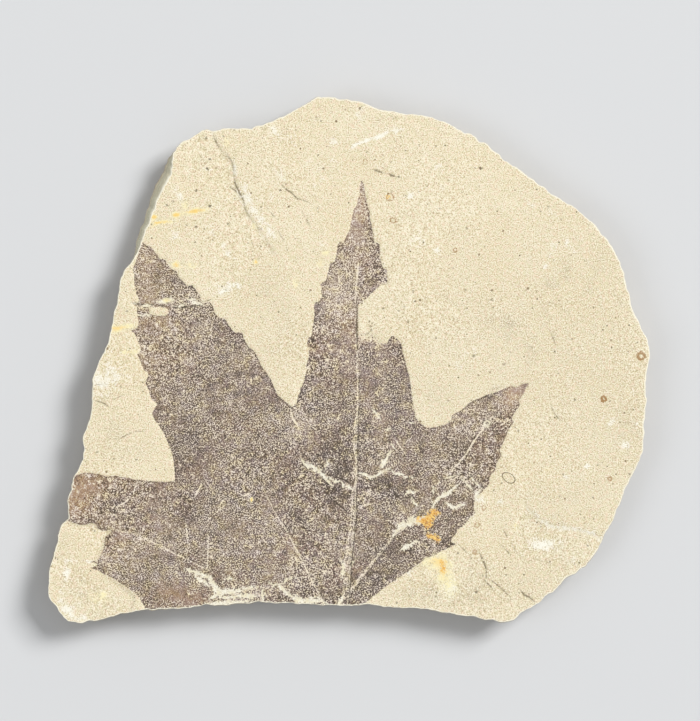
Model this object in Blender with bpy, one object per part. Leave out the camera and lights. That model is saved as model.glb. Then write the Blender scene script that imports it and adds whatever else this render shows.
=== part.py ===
"""Fossil leaf plate.

A flat, broken slab of pale laminated stone lies face up. Its face holds the shallow print of a
lobed leaf with a toothed margin, cut off by the slab's left and lower edges. Slab, print and
veins grew together as one natural piece, so they are one solid.
"""

import math

import bmesh
import bpy
from mathutils import Vector, noise

MM = 0.001

# Driving dimensions, in metres
SLAB_WIDTH = 220 * MM
SLAB_THICKNESS = 12 * MM
PRINT_DEPTH = 0.5 * MM

# The broken rim: the longest straight stretch, the chips between its corners, and the bruised
# edge of the face
RIM_STEP = 3.4 * MM
CHIP_DEPTH = 0.7 * MM
CHIP_SCALE = 4 * MM
BRUISE_WIDTH = 0.7 * MM
BRUISE_HEIGHT = 0.6 * MM
BRUISE_SCALE = 9 * MM
NORMAL_REACH = 4

# The ragged edges of the beds: long and short waves along the rim, and the height of a ledge
LONG_WAVE = 17 * MM
SHORT_WAVE = 6 * MM
LONG_SHARE = 0.65
LEAST_RECESS = 0.15 * MM
LEDGE_HALF_HEIGHT = 0.14 * MM
FULL_SLOPE_WIDTH = 2 * MM
SLOPE_SMOOTHING = 0.75
SLOPE_UNDER_TOP_BED = 0.72
SLOPE_AT_BRUISE = 0.85

# Each bed of the stone, from the underside up: the height of its top, how far its broken edge
# stands back from the slab's outline on average, how much that varies, and the share of the
# shoulder's slope that it takes
BEDS = (
    (1.9 * MM, 4.2 * MM, 2.6 * MM, 0.0),
    (4.4 * MM, 2.5 * MM, 2.2 * MM, 0.0),
    (6.1 * MM, 3.0 * MM, 2.6 * MM, 0.0),
    (8.9 * MM, 1.3 * MM, 1.3 * MM, 0.12),
    (10.4 * MM, 0.7 * MM, 0.9 * MM, 0.5),
)

# Outlines and lines below are read by eye in pixels of a photograph that looks straight down on
# the face, x to the right and y down. The slab's outline runs clockwise from its peak.
SLAB_OUTLINE_PX = (
    (317, 96.5), (328, 97), (340, 99), (356, 101), (370, 106), (381, 109), (395, 112), (419, 115),
    (432, 117), (445, 122), (451, 125), (464, 133), (469, 132), (475, 136), (480, 142), (486, 143),
    (501, 157), (515, 167), (528, 177), (542, 186), (552, 194), (576, 209), (594, 223), (612, 246),
    (624, 271), (629, 295), (636, 317), (643, 330), (648, 340), (650, 359), (646, 373), (646, 401),
    (644, 428), (643, 453), (639, 463), (630, 479), (621, 500), (609, 529), (600, 544), (592, 561),
    (580, 570), (563, 581), (555, 591), (547, 595), (541, 602), (533, 606), (522, 613), (514, 620),
    (505, 623), (495, 621), (471, 617), (440, 612), (416, 609), (366, 605), (330, 606), (298, 604),
    (259, 602), (221, 606), (206, 605), (192, 608), (162, 609), (139, 611), (118, 615), (104, 619),
    (80, 623.5), (68, 621), (60, 614), (56, 606), (48, 597), (49, 576), (51, 561), (57, 542),
    (60, 525), (68, 518), (67, 501), (74, 476), (83, 459), (84, 448), (82, 439), (89, 419),
    (92, 407), (92, 382), (96, 368), (99, 361), (103, 353), (107, 344), (116, 305), (119, 284),
    (121, 277), (132, 255), (135, 242), (143, 219), (150, 199), (154, 185), (163, 169), (170, 152),
    (175, 149), (181, 142.5), (193, 137), (201, 131), (206, 129), (214, 131), (224, 128),
    (252, 129), (255, 127), (264, 125), (282, 117), (294, 111), (308, 102),
)

# The left shoulder breaks away in a slope: its width in pixels at heights down the photograph
SHOULDER_RIGHT_PX = 180
SHOULDER_SLOPE_PX = (
    (148, 0.0), (156, 5.0), (168, 8.5), (185, 9.0), (200, 7.0), (220, 6.0), (242, 5.5), (256, 3.0),
    (272, 0.0),
)

# The leaf's outline where its film is kept, clockwise from the left lobe's tip. Points beyond the
# slab carry the print out over the slab's edge.
LEAF_OUTLINE_PX = (
    (143, 242), (149, 246), (156, 252), (163, 259), (169, 266), (176, 273), (184, 282), (192, 286),
    (203, 300), (210, 302), (218, 316), (227, 322), (235, 332), (242, 333), (247, 344), (257, 357),
    (266, 371), (276, 387), (279, 396), (287, 403), (292, 406.5), (297, 399), (302, 388),
    (306, 371), (308, 353), (307, 339), (312, 329), (314, 314), (315, 302), (321, 296), (321, 285),
    (324, 284), (328, 275), (331, 262), (335, 262), (338, 253), (339, 242), (343, 242), (351, 223),
    (354, 208), (359, 195), (361, 179), (364, 184), (366, 199), (369, 208), (371, 223), (374, 243),
    (380, 244), (380, 256), (382, 266), (387, 271), (387, 283), (376, 288), (370, 296), (363, 301),
    (358, 305), (358, 318), (363, 323), (370, 325), (379, 339), (386, 345), (394, 341), (400, 343),
    (402, 353), (405, 361), (408, 374), (412, 395), (414, 409), (416, 418), (421, 424), (427, 427),
    (436, 427), (444, 425), (452, 422), (452, 415), (459, 413), (463, 408), (471, 402), (481, 398),
    (490, 394), (503, 391), (512, 387), (521, 386), (527, 384), (522, 396), (519, 405), (512, 415),
    (513, 422), (509, 430), (504, 441), (501, 450), (500, 456), (496, 465), (490, 475), (489, 483),
    (481, 490), (475, 496), (474, 506), (476, 512), (468, 521), (459, 531), (452, 540), (455, 544),
    (444, 549), (433, 555), (424, 560), (409, 571), (394, 581), (380, 591), (364, 604), (358, 632),
    (150, 632), (145, 608), (140, 600), (133, 592), (123, 585), (111, 577), (101, 570), (92, 566),
    (99, 561), (100, 555), (104, 547), (105, 538), (111, 531), (104, 531), (99, 528), (95, 524),
    (79, 525), (67, 520), (40, 520), (40, 476), (74, 476), (89, 473), (104, 475), (118, 476),
    (140, 479), (159, 481), (175, 480.5), (175, 470), (173, 460), (169, 446), (163, 432),
    (155, 422), (153, 413), (155, 405), (152, 400), (147, 381), (144, 371), (138, 354), (134, 332),
    (138, 316), (134, 303), (136, 295), (134, 281), (133, 268), (139, 250),
)

# Veins, from tip to foot: the line, then width at the tip, width at the foot and depth
VEINS = {
    "midrib": (
        ((358.6, 268), (356, 330), (358, 380), (357, 424), (355.5, 489), (353, 512), (348, 553),
         (346, 590), (343, 620)),
        0.7 * MM, 3.2 * MM, 0.6 * MM,
    ),
    "left_vein": (
        ((245, 452), (263, 488), (273, 509), (288, 534), (300, 556), (311, 579), (333, 620)),
        0.5 * MM, 1.9 * MM, 0.4 * MM,
    ),
    "right_vein": (
        ((493, 418), (475, 440), (453, 468), (441, 486), (422, 506), (394, 535), (381, 552),
         (360, 576), (346, 597), (332, 620)),
        0.5 * MM, 1.9 * MM, 0.4 * MM,
    ),
    "lower_vein": (
        ((110, 529), (139, 535), (162, 547), (184, 558), (213, 575)),
        0.5 * MM, 1.5 * MM, 0.35 * MM,
    ),
}

# Open cracks in the stone: the line, then width and depth
CRACKS = {
    "upper_crack": (((282, 186), (291, 193), (298, 200), (308, 203)), 0.6 * MM, 0.4 * MM),
    "corner_crack": (((478, 549), (487, 571), (489, 578), (502, 589), (515, 602)), 0.7 * MM, 0.6 * MM),
    "edge_crack": (((515, 585), (524, 595), (536, 608)), 0.7 * MM, 0.6 * MM),
    "left_crack": (((84, 399), (99, 402), (108, 404), (117, 409)), 0.6 * MM, 0.5 * MM),
}

# Places where a thin bed has flaked off the face. Each has the line of its broken edge, points
# that close it round the far side, the depth at the edge and the distance over which it runs out.
FLAKES = {
    "shoulder_flake": (
        ((207, 118), (218, 146), (233, 165), (237, 189), (245, 211), (264, 237), (276, 256)),
        ((205, 290), (90, 240), (140, 110)),
        0.5 * MM, 31 * MM,
    ),
    "lower_left_flake": (
        ((40, 519), (67, 520), (79, 525), (95, 524), (99, 528), (111, 531), (105, 538),
         (104, 547), (100, 555), (99, 562), (104, 574), (135, 596)),
        ((120, 650), (10, 650), (10, 560)),
        0.7 * MM, 30 * MM,
    ),
    "right_corner_flake": (
        ((524, 505), (541, 524), (561, 528), (585, 532), (625, 540)),
        ((640, 640), (480, 640), (500, 560)),
        0.5 * MM, 26 * MM,
    ),
}

# The same on the underside, where one bed has come away along two stretches of the edge
UNDERSIDE_FLAKE_DEPTH = 1.0 * MM
UNDERSIDE_FLAKES_PX = {
    "underside_flake_right": (
        (690, 250), (560, 262), (538, 300), (548, 352), (530, 398), (553, 452), (690, 470),
    ),
    "underside_flake_left": (
        (20, 640), (20, 470), (118, 488), (150, 520), (146, 552), (172, 580), (178, 640),
    ),
}

# How far the cutters stand out of the stone
GROOVE_CLEARANCE = 1.5 * MM
CUTTER_CLEARANCE = 3 * MM

STONE_COLOUR = (0.71, 0.62, 0.47, 1.0)
STONE_ROUGHNESS = 0.92

LEFT_PX = min(x for x, y in SLAB_OUTLINE_PX)
RIGHT_PX = max(x for x, y in SLAB_OUTLINE_PX)
TOP_PX = min(y for x, y in SLAB_OUTLINE_PX)
BOTTOM_PX = max(y for x, y in SLAB_OUTLINE_PX)
PIXEL = SLAB_WIDTH / (RIGHT_PX - LEFT_PX)
MIDDLE_PX = ((LEFT_PX + RIGHT_PX) / 2, (TOP_PX + BOTTOM_PX) / 2)


def place(point_px):
    """A point of the photograph on the slab's plane, with the middle of the slab as origin."""
    x, y = point_px
    return Vector(((x - MIDDLE_PX[0]) * PIXEL, (MIDDLE_PX[1] - y) * PIXEL))


def interpolate(table, value):
    """The value of a table of (place, amount) pairs, and its end amounts outside it."""
    if value <= table[0][0]:
        return table[0][1]
    for (low, amount_low), (high, amount_high) in zip(table, table[1:]):
        if value <= high:
            return amount_low + (amount_high - amount_low) * (value - low) / (high - low)
    return table[-1][1]


def rough(point, scale, layer):
    """Smooth noise between about 0 and 1 that varies over scale metres, another for each layer."""
    value = noise.noise(Vector((point.x / scale, point.y / scale, 3.7 * layer)))
    return min(max(0.5 + 0.8 * value, 0.0), 1.0)


def broken_rim():
    """The slab's outline with chips between its corners: points, inward directions, slope widths."""
    corners = [place(p) for p in SLAB_OUTLINE_PX]
    points = []
    for start, end in zip(corners, corners[1:] + corners[:1]):
        steps = max(1, math.ceil((end - start).length / RIM_STEP))
        inward = Vector((end.y - start.y, start.x - end.x)).normalized()
        for step in range(steps):
            point = start.lerp(end, step / steps)
            chip = CHIP_DEPTH * rough(point, CHIP_SCALE, 9) * math.sin(math.pi * step / steps)
            points.append(point + inward * chip)
    count = len(points)
    inwards = []
    slopes = []
    for i, point in enumerate(points):
        along = points[(i + NORMAL_REACH) % count] - points[i - NORMAL_REACH]
        inwards.append(Vector((along.y, -along.x)).normalized())
        x_px = MIDDLE_PX[0] + point.x / PIXEL
        y_px = MIDDLE_PX[1] - point.y / PIXEL
        on_shoulder = x_px < SHOULDER_RIGHT_PX
        slopes.append(interpolate(SHOULDER_SLOPE_PX, y_px) * PIXEL if on_shoulder else 0.0)
    return points, inwards, slopes


def bruise(point):
    """The width of the crushed edge of the face at a point of the rim."""
    return BRUISE_WIDTH * (1 + 2 * rough(point, BRUISE_SCALE, 12)) / 3


def slab_rings():
    """Closed rings of points round the slab, from the underside up to the face."""
    points, inwards, slopes = broken_rim()
    rings = []

    def ring(height, recess):
        rings.append([
            (*(point + inward * recess(point, slope)), height)
            for point, inward, slope in zip(points, inwards, slopes)
        ])

    bottom = 0.0
    for layer, (top, mean, spread, slope_share) in enumerate(BEDS):
        def edge(point, slope):
            long_wave = rough(point, LONG_WAVE, layer)
            short_wave = rough(point, SHORT_WAVE, layer + 20)
            wave = short_wave + LONG_SHARE * (long_wave - short_wave)
            stands_back = max(mean + spread * (2 * wave - 1), LEAST_RECESS)
            on_slope = min(slope / FULL_SLOPE_WIDTH, 1.0)
            return stands_back * (1 - SLOPE_SMOOTHING * on_slope) + slope_share * slope

        lower_edge = bottom + (LEDGE_HALF_HEIGHT if layer else 0.0)
        ring(lower_edge, edge)
        ring(top - LEDGE_HALF_HEIGHT, edge)
        bottom = top
    ring(bottom + LEDGE_HALF_HEIGHT, lambda point, slope: SLOPE_UNDER_TOP_BED * slope)
    ring(SLAB_THICKNESS - BRUISE_HEIGHT, lambda point, slope: SLOPE_AT_BRUISE * slope)
    ring(SLAB_THICKNESS, lambda point, slope: slope + bruise(point))
    return rings


def mesh_object(name, bm):
    """A new object made from a bmesh, with its faces pointing outwards."""
    bmesh.ops.recalc_face_normals(bm, faces=bm.faces[:])
    mesh = bpy.data.meshes.new(name)
    bm.to_mesh(mesh)
    bm.free()
    thing = bpy.data.objects.new(name, mesh)
    bpy.context.collection.objects.link(thing)
    return thing


def loft(name, rings):
    """A closed solid through rings that all have the same number of points."""
    bm = bmesh.new()
    loops = [[bm.verts.new(point) for point in ring] for ring in rings]
    for lower, upper in zip(loops, loops[1:]):
        for i in range(len(lower)):
            bm.faces.new((lower[i - 1], lower[i], upper[i], upper[i - 1]))
    bm.faces.new(loops[0])
    bm.faces.new(loops[-1])
    return mesh_object(name, bm)


def prism(name, outline, floor, roof):
    """A cutter with upright walls; floor and roof give the heights over each point."""
    return loft(name, [[(*p, floor(p)) for p in outline], [(*p, roof(p)) for p in outline]])


def groove(name, line, width_at_start, width_at_end, depth, surface):
    """A cutter for a groove of V section along a line, as wide as given at the surface."""
    points = [place(p) for p in line]
    last = len(points) - 1
    sections = []
    for i, point in enumerate(points):
        along = (points[min(i + 1, last)] - points[max(i - 1, 0)]).normalized()
        across = Vector((along.y, -along.x))
        width = width_at_start + (width_at_end - width_at_start) * i / last
        rise = GROOVE_CLEARANCE
        half = width / 2 * (depth + rise) / depth
        sections.append([
            (*(point - across * half), surface + rise),
            (*point, surface - depth),
            (*(point + across * half), surface + rise),
        ])
    return loft(name, sections)


def flake(name, edge_px, far_side_px, depth, run_out):
    """A cutter whose sloping floor is deepest at the broken edge and rises out of the face."""
    edge = [place(p) for p in edge_px]
    far_side = [place(p) for p in far_side_px]
    along = (edge[-1] - edge[0]).normalized()
    across = Vector((along.y, -along.x))
    middle = sum(edge, Vector((0, 0))) / len(edge)
    if across.dot(far_side[1] - middle) < 0:
        across.negate()

    def floor(point):
        distance = across.dot(Vector(point[:2]) - middle)
        return SLAB_THICKNESS - depth + depth * distance / run_out

    return prism(name, edge + far_side, floor, lambda point: SLAB_THICKNESS + CUTTER_CLEARANCE)


def cut(slab, cutter):
    """Take a cutter out of the slab with a live modifier, and keep the cutter as a guide."""
    cutter.hide_render = True
    cutter.display_type = 'WIRE'
    modifier = slab.modifiers.new(cutter.name, 'BOOLEAN')
    modifier.operation = 'DIFFERENCE'
    modifier.solver = 'EXACT'
    modifier.object = cutter


def stone():
    """Pale, chalky stone."""
    material = bpy.data.materials.new("pale_stone")
    material.use_nodes = True
    shader = material.node_tree.nodes["Principled BSDF"]
    shader.inputs["Base Color"].default_value = STONE_COLOUR
    shader.inputs["Roughness"].default_value = STONE_ROUGHNESS
    shader.inputs["Metallic"].default_value = 0.0
    return material


def build():
    for thing in list(bpy.data.objects):
        bpy.data.objects.remove(thing, do_unlink=True)

    slab = loft("fossil_slab", slab_rings())
    slab.data.materials.append(stone())

    for name, (edge, far_side, depth, run_out) in FLAKES.items():
        cut(slab, flake(name, edge, far_side, depth, run_out))

    for name, outline in UNDERSIDE_FLAKES_PX.items():
        cut(slab, prism(
            name, [place(p) for p in outline],
            lambda point: -CUTTER_CLEARANCE, lambda point: UNDERSIDE_FLAKE_DEPTH,
        ))

    print_floor = SLAB_THICKNESS - PRINT_DEPTH
    cut(slab, prism(
        "leaf_print", [place(p) for p in LEAF_OUTLINE_PX],
        lambda point: print_floor, lambda point: SLAB_THICKNESS + CUTTER_CLEARANCE,
    ))

    for name, (line, tip_width, foot_width, depth) in VEINS.items():
        cut(slab, groove(name, line, tip_width, foot_width, depth, print_floor))

    for name, (line, width, depth) in CRACKS.items():
        cut(slab, groove(name, line, width, width, depth, SLAB_THICKNESS))


build()
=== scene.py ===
"""The looks of a fossil leaf plate: a thin slab of cream shale with a dark leaf film in its face.

The slab is one piece. Its face, broken edge and underside are modelled as one closed skin, and its
finish is painted by one material that reads fields laid on the skin's points: how far a point is
from the leaf's margin, from a vein and from a dark line, some dark lines being cracks and some
painted shadow, and how strongly it is stained, with some painted shade and highlight among the
stains.
"""

import math

import bmesh
import bpy
import numpy as np
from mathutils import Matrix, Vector, noise


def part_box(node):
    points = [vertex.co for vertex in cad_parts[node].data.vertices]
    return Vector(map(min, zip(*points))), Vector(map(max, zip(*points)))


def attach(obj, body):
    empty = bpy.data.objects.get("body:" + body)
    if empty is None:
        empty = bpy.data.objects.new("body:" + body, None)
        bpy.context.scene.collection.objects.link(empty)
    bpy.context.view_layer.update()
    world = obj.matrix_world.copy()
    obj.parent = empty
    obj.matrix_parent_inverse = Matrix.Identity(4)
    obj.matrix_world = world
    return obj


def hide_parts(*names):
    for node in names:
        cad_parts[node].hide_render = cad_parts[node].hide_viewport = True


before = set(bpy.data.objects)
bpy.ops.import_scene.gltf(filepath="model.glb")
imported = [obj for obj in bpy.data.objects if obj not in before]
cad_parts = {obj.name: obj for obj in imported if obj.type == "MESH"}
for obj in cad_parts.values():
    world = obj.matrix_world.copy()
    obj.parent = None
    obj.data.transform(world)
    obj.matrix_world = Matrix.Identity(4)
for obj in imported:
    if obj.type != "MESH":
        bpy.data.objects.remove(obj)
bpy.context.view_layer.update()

MM = 0.001

# Outlines and lines are read in pixels of the 700 by 721 photograph, which looks straight
# down on the face: x to the right, y down.
PHOTO_SIZE_PX = (700, 721)

# The slab's outline, clockwise from its peak
SLAB_OUTLINE_PX = (
    (317, 96.5), (328, 97), (340, 99), (356, 101), (370, 106), (381, 109), (395, 112), (419, 115),
    (432, 117), (445, 122), (451, 125), (464, 133), (469, 132), (475, 136), (480, 142), (486, 143),
    (501, 157), (515, 167), (528, 177), (542, 186), (552, 194), (576, 209), (594, 223), (612, 246),
    (624, 271), (629, 295), (636, 317), (643, 330), (648, 340), (650, 359), (646, 373), (646, 401),
    (644, 428), (643, 453), (639, 463), (630, 479), (621, 500), (609, 529), (600, 544), (592, 561),
    (580, 570), (563, 581), (555, 591), (547, 595), (541, 602), (533, 606), (522, 613), (514, 620),
    (505, 623), (495, 621), (471, 617), (440, 612), (416, 609), (366, 605), (330, 606), (298, 604),
    (259, 602), (221, 606), (206, 605), (192, 608), (162, 609), (139, 611), (118, 615), (104, 619),
    (80, 623.5), (68, 621), (60, 614), (56, 606), (48, 597), (49, 576), (51, 561), (57, 542),
    (60, 525), (68, 518), (67, 501), (74, 476), (83, 459), (84, 448), (82, 439), (89, 419),
    (92, 407), (92, 382), (96, 368), (99, 361), (103, 353), (107, 344), (116, 305), (119, 284),
    (121, 277), (132, 255), (135, 242), (143, 219), (150, 199), (154, 185), (163, 169), (170, 152),
    (175, 149), (181, 142.5), (193, 137), (201, 131), (206, 129), (214, 131), (224, 128),
    (252, 129), (255, 127), (264, 125), (282, 117), (294, 111), (308, 102),
)

# The left shoulder breaks away in a slope: its width in pixels at heights down the photograph
SHOULDER_RIGHT_PX = 180
SHOULDER_SLOPE_PX = (
    (148, 0.0), (156, 5.0), (168, 8.5), (185, 9.0), (200, 7.0), (220, 6.0), (242, 5.5), (256, 3.0),
    (272, 0.0),
)

# The leaf's outline where its film is kept, clockwise from the left lobe's tip; points beyond the
# slab carry the film out to the slab's edge
LEAF_OUTLINE_PX = (
    (143, 242), (146.5, 245.5), (149.5, 245.3), (156, 253.5), (160.5, 259.5), (164, 258.6),
    (167, 263), (171, 268.7), (176.8, 271.2), (178.5, 276.5), (187, 285.5), (193, 285.2),
    (196.5, 291), (200, 294.5), (201.5, 302), (205, 302.3), (209.5, 301.3), (212, 305), (215, 313),
    (220.4, 319), (223.8, 317.6), (227, 321.8), (230, 327), (235.4, 333), (242, 332), (244, 339.5),
    (249.2, 347.6), (254.3, 351), (257.6, 357), (261.2, 365.6), (268.4, 375.2), (273.2, 384.8),
    (278, 395.6), (283, 399.3), (287.6, 404), (291.8, 407), (296, 403.5), (299.6, 392),
    (303.8, 381.2), (306.2, 371.6), (307, 362), (308.8, 356), (308.9, 350), (307, 344),
    (307.3, 339), (311.5, 336), (312.3, 328), (314.3, 318), (314, 309), (314.6, 302.3),
    (319, 301.5), (322.3, 296), (321, 291.5), (321.9, 288), (320.5, 284), (324.8, 282),
    (327.2, 276.4), (328.4, 270), (330.2, 262.5), (334.4, 262.3), (336.2, 255.5), (337.8, 245),
    (339.8, 241), (343, 242.9), (349.4, 230.7), (352, 218), (353.2, 210), (356.6, 206.2),
    (357.5, 200), (359.3, 195.8), (360.2, 186), (361, 179), (364.3, 185), (365.2, 193),
    (367.5, 205), (369.6, 211), (370.2, 219), (373.3, 233), (374.3, 242), (379.8, 243.8),
    (380, 256), (382, 266), (387, 270.5), (387.5, 284.5), (381, 284.8), (376.5, 288.6),
    (366, 299.1), (358, 305.3), (358, 334), (363, 333.5), (370, 333), (376, 337.5), (381, 343),
    (387, 343.3), (391.5, 335.5), (397.5, 338.5), (401.4, 344),
    (402.8, 352.6), (406.6, 366), (410, 378), (412, 395), (414, 409), (416, 418), (421, 424),
    (427, 428), (436.3, 427), (443.7, 425), (451.3, 421.7), (451.8, 416), (456.9, 412),
    (460.6, 411), (466.4, 405.3), (472.2, 401), (479.6, 398.5), (484.9, 395.3), (491.2, 393.7),
    (498.6, 391), (504.9, 388.4), (511.3, 385.4), (516.5, 387.7), (520, 384.5), (528, 383.3),
    (522.9, 394.8), (518.8, 400.5), (520.2, 405), (515, 412.2), (511.3, 418.5), (514, 421.8),
    (508.1, 430.7), (504.9, 439), (499.8, 449.6), (501.2, 456), (496, 464.4), (496, 469.5),
    (490, 476), (488.6, 486), (484.9, 488.9), (480.4, 493.4), (476.8, 498), (474, 502.4),
    (473.4, 508), (476, 513), (470.5, 517), (467.8, 520.4), (463.3, 526), (457.3, 529.4),
    (456, 534), (451.2, 539.5), (451.4, 542.4), (456.3, 544), (448, 548.3), (441.7, 551),
    (433, 556), (424, 560), (409, 571), (394, 581), (380, 591), (364, 604), (358, 632), (150, 632),
    (145, 608), (141, 600), (136, 594), (125, 586), (110.5, 576.7), (102, 573.5), (99, 571),
    (88.5, 568), (97, 565.6), (97.5, 563.8), (90, 562.3), (98.2, 560), (100.5, 555.7), (103.2, 550),
    (104.3, 542.4), (105.4, 537), (111.7, 531.3), (108.7, 529.7), (102, 531.5), (97, 528.5),
    (96.8, 524), (91, 523), (85.5, 525), (79, 525), (67, 520), (40, 520), (40, 476), (74, 476),
    (83, 473), (90, 472.7), (97.7, 473.8), (106.5, 476.4), (116.5, 475.7), (126.4, 477.7),
    (135.3, 479.4), (152, 481.4), (166, 482), (175, 481), (174.7, 473.5), (173.4, 460.3),
    (171.7, 452.6), (168.4, 443.8), (162.4, 430.6), (154, 418.5), (151.8, 413), (155, 408),
    (157.8, 404.2), (151.5, 400), (150, 393.5), (147.5, 388), (145.2, 381.7), (148.4, 376.8),
    (148, 372.2), (144.3, 371), (140.2, 361), (137, 355.2), (141, 350), (139.3, 344.8),
    (134.5, 333.5), (131, 331), (137.8, 327.3), (138.2, 320), (137.2, 314.5), (136.8, 307),
    (132, 303), (140, 301.8), (136.3, 294), (134, 283), (134, 275), (132.6, 270), (136, 260),
    (139, 250.5),
)
# A bare oval in the left lobe's film
FILM_GAP_PX = (
    (148.8, 309.5), (151, 307.3), (158, 306.9), (165, 307.6), (168.5, 310.2), (168.8, 313.5),
    (166, 315.3), (158, 315.6), (151.5, 314.9), (148.9, 312.5),
)

# Lines on the face, each a run of points with the line's full width there: (x, y, width)
VEIN_LINES_PX = (
    ((358, 372, 1.2), (358.2, 400, 1.8), (357.5, 413, 2.4), (355.6, 425, 4.4), (355, 448, 4.8),
     (356.3, 462, 2.6), (356.5, 480, 2.8), (353.8, 492, 5.2), (353.4, 512, 5.8), (351, 535, 6.4),
     (348, 560, 6.8), (347, 580, 6.8), (345, 603, 7.0), (344, 620, 7.0)),
    ((263, 488, 0.8), (273, 509, 1.2), (288, 534, 1.8), (300, 556, 2.2), (311, 579, 2.4),
     (324, 603, 2.6), (333, 620, 2.6)),
    ((402, 527, 2.0), (394, 536, 3.6), (381, 552, 4.0), (361, 577, 4.2), (350, 592, 4.2)),
    ((110, 529, 1.0), (139, 535, 1.6), (162, 547, 2.0), (184, 558, 2.2), (206, 569, 2.0)),
)
HAIR_LINES_PX = (
    ((358.5, 262, 0.8), (357.5, 274, 1.6), (356, 288, 1.4), (355.5, 300, 0.8), (355.8, 306, 0.4),
     (355.8, 342, 0.4), (357, 352, 0.8), (357, 372, 1.3)),
    ((346, 270, 0.8), (350, 275, 1.2), (355, 278, 1.0)),
    ((337, 291, 0.8), (340, 285, 1.0), (339, 279, 0.8)),
    ((494, 416, 0.9), (490, 420, 1.3), (488.5, 422, 0.9)),
    ((485, 427, 1.4), (479, 434, 1.8), (474, 441, 1.5), (467, 453, 1.6), (460, 462, 1.6),
     (452, 470, 1.2), (446, 478, 1.0)),
    ((291, 411, 1.0), (293, 418, 1.5), (298, 427, 1.2)),
    ((397, 442, 1.0), (402, 449, 1.2)),
    ((361, 447, 1.0), (368, 442, 1.2), (374, 439, 1.0)),
    ((208, 535, 1.0), (208, 552, 1.3), (207, 568, 1.0)),
    ((186, 524, 0.9), (187, 534, 1.3), (188, 542, 1.0)),
    ((201, 485, 1.4), (198, 491, 1.8), (195, 496, 1.2)),
    ((224, 499, 1.2), (221, 504, 1.6)),
    ((240, 499, 1.0), (246, 495, 1.4), (250, 493, 1.0)),
    ((133, 497, 0.9), (135, 487, 1.3), (138, 481, 0.9)),
    ((360, 508, 1.0), (365, 505, 1.3), (371, 504, 1.0)),
    ((116, 507, 0.9), (124, 503, 1.2), (130, 498, 0.9)),
)
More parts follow.
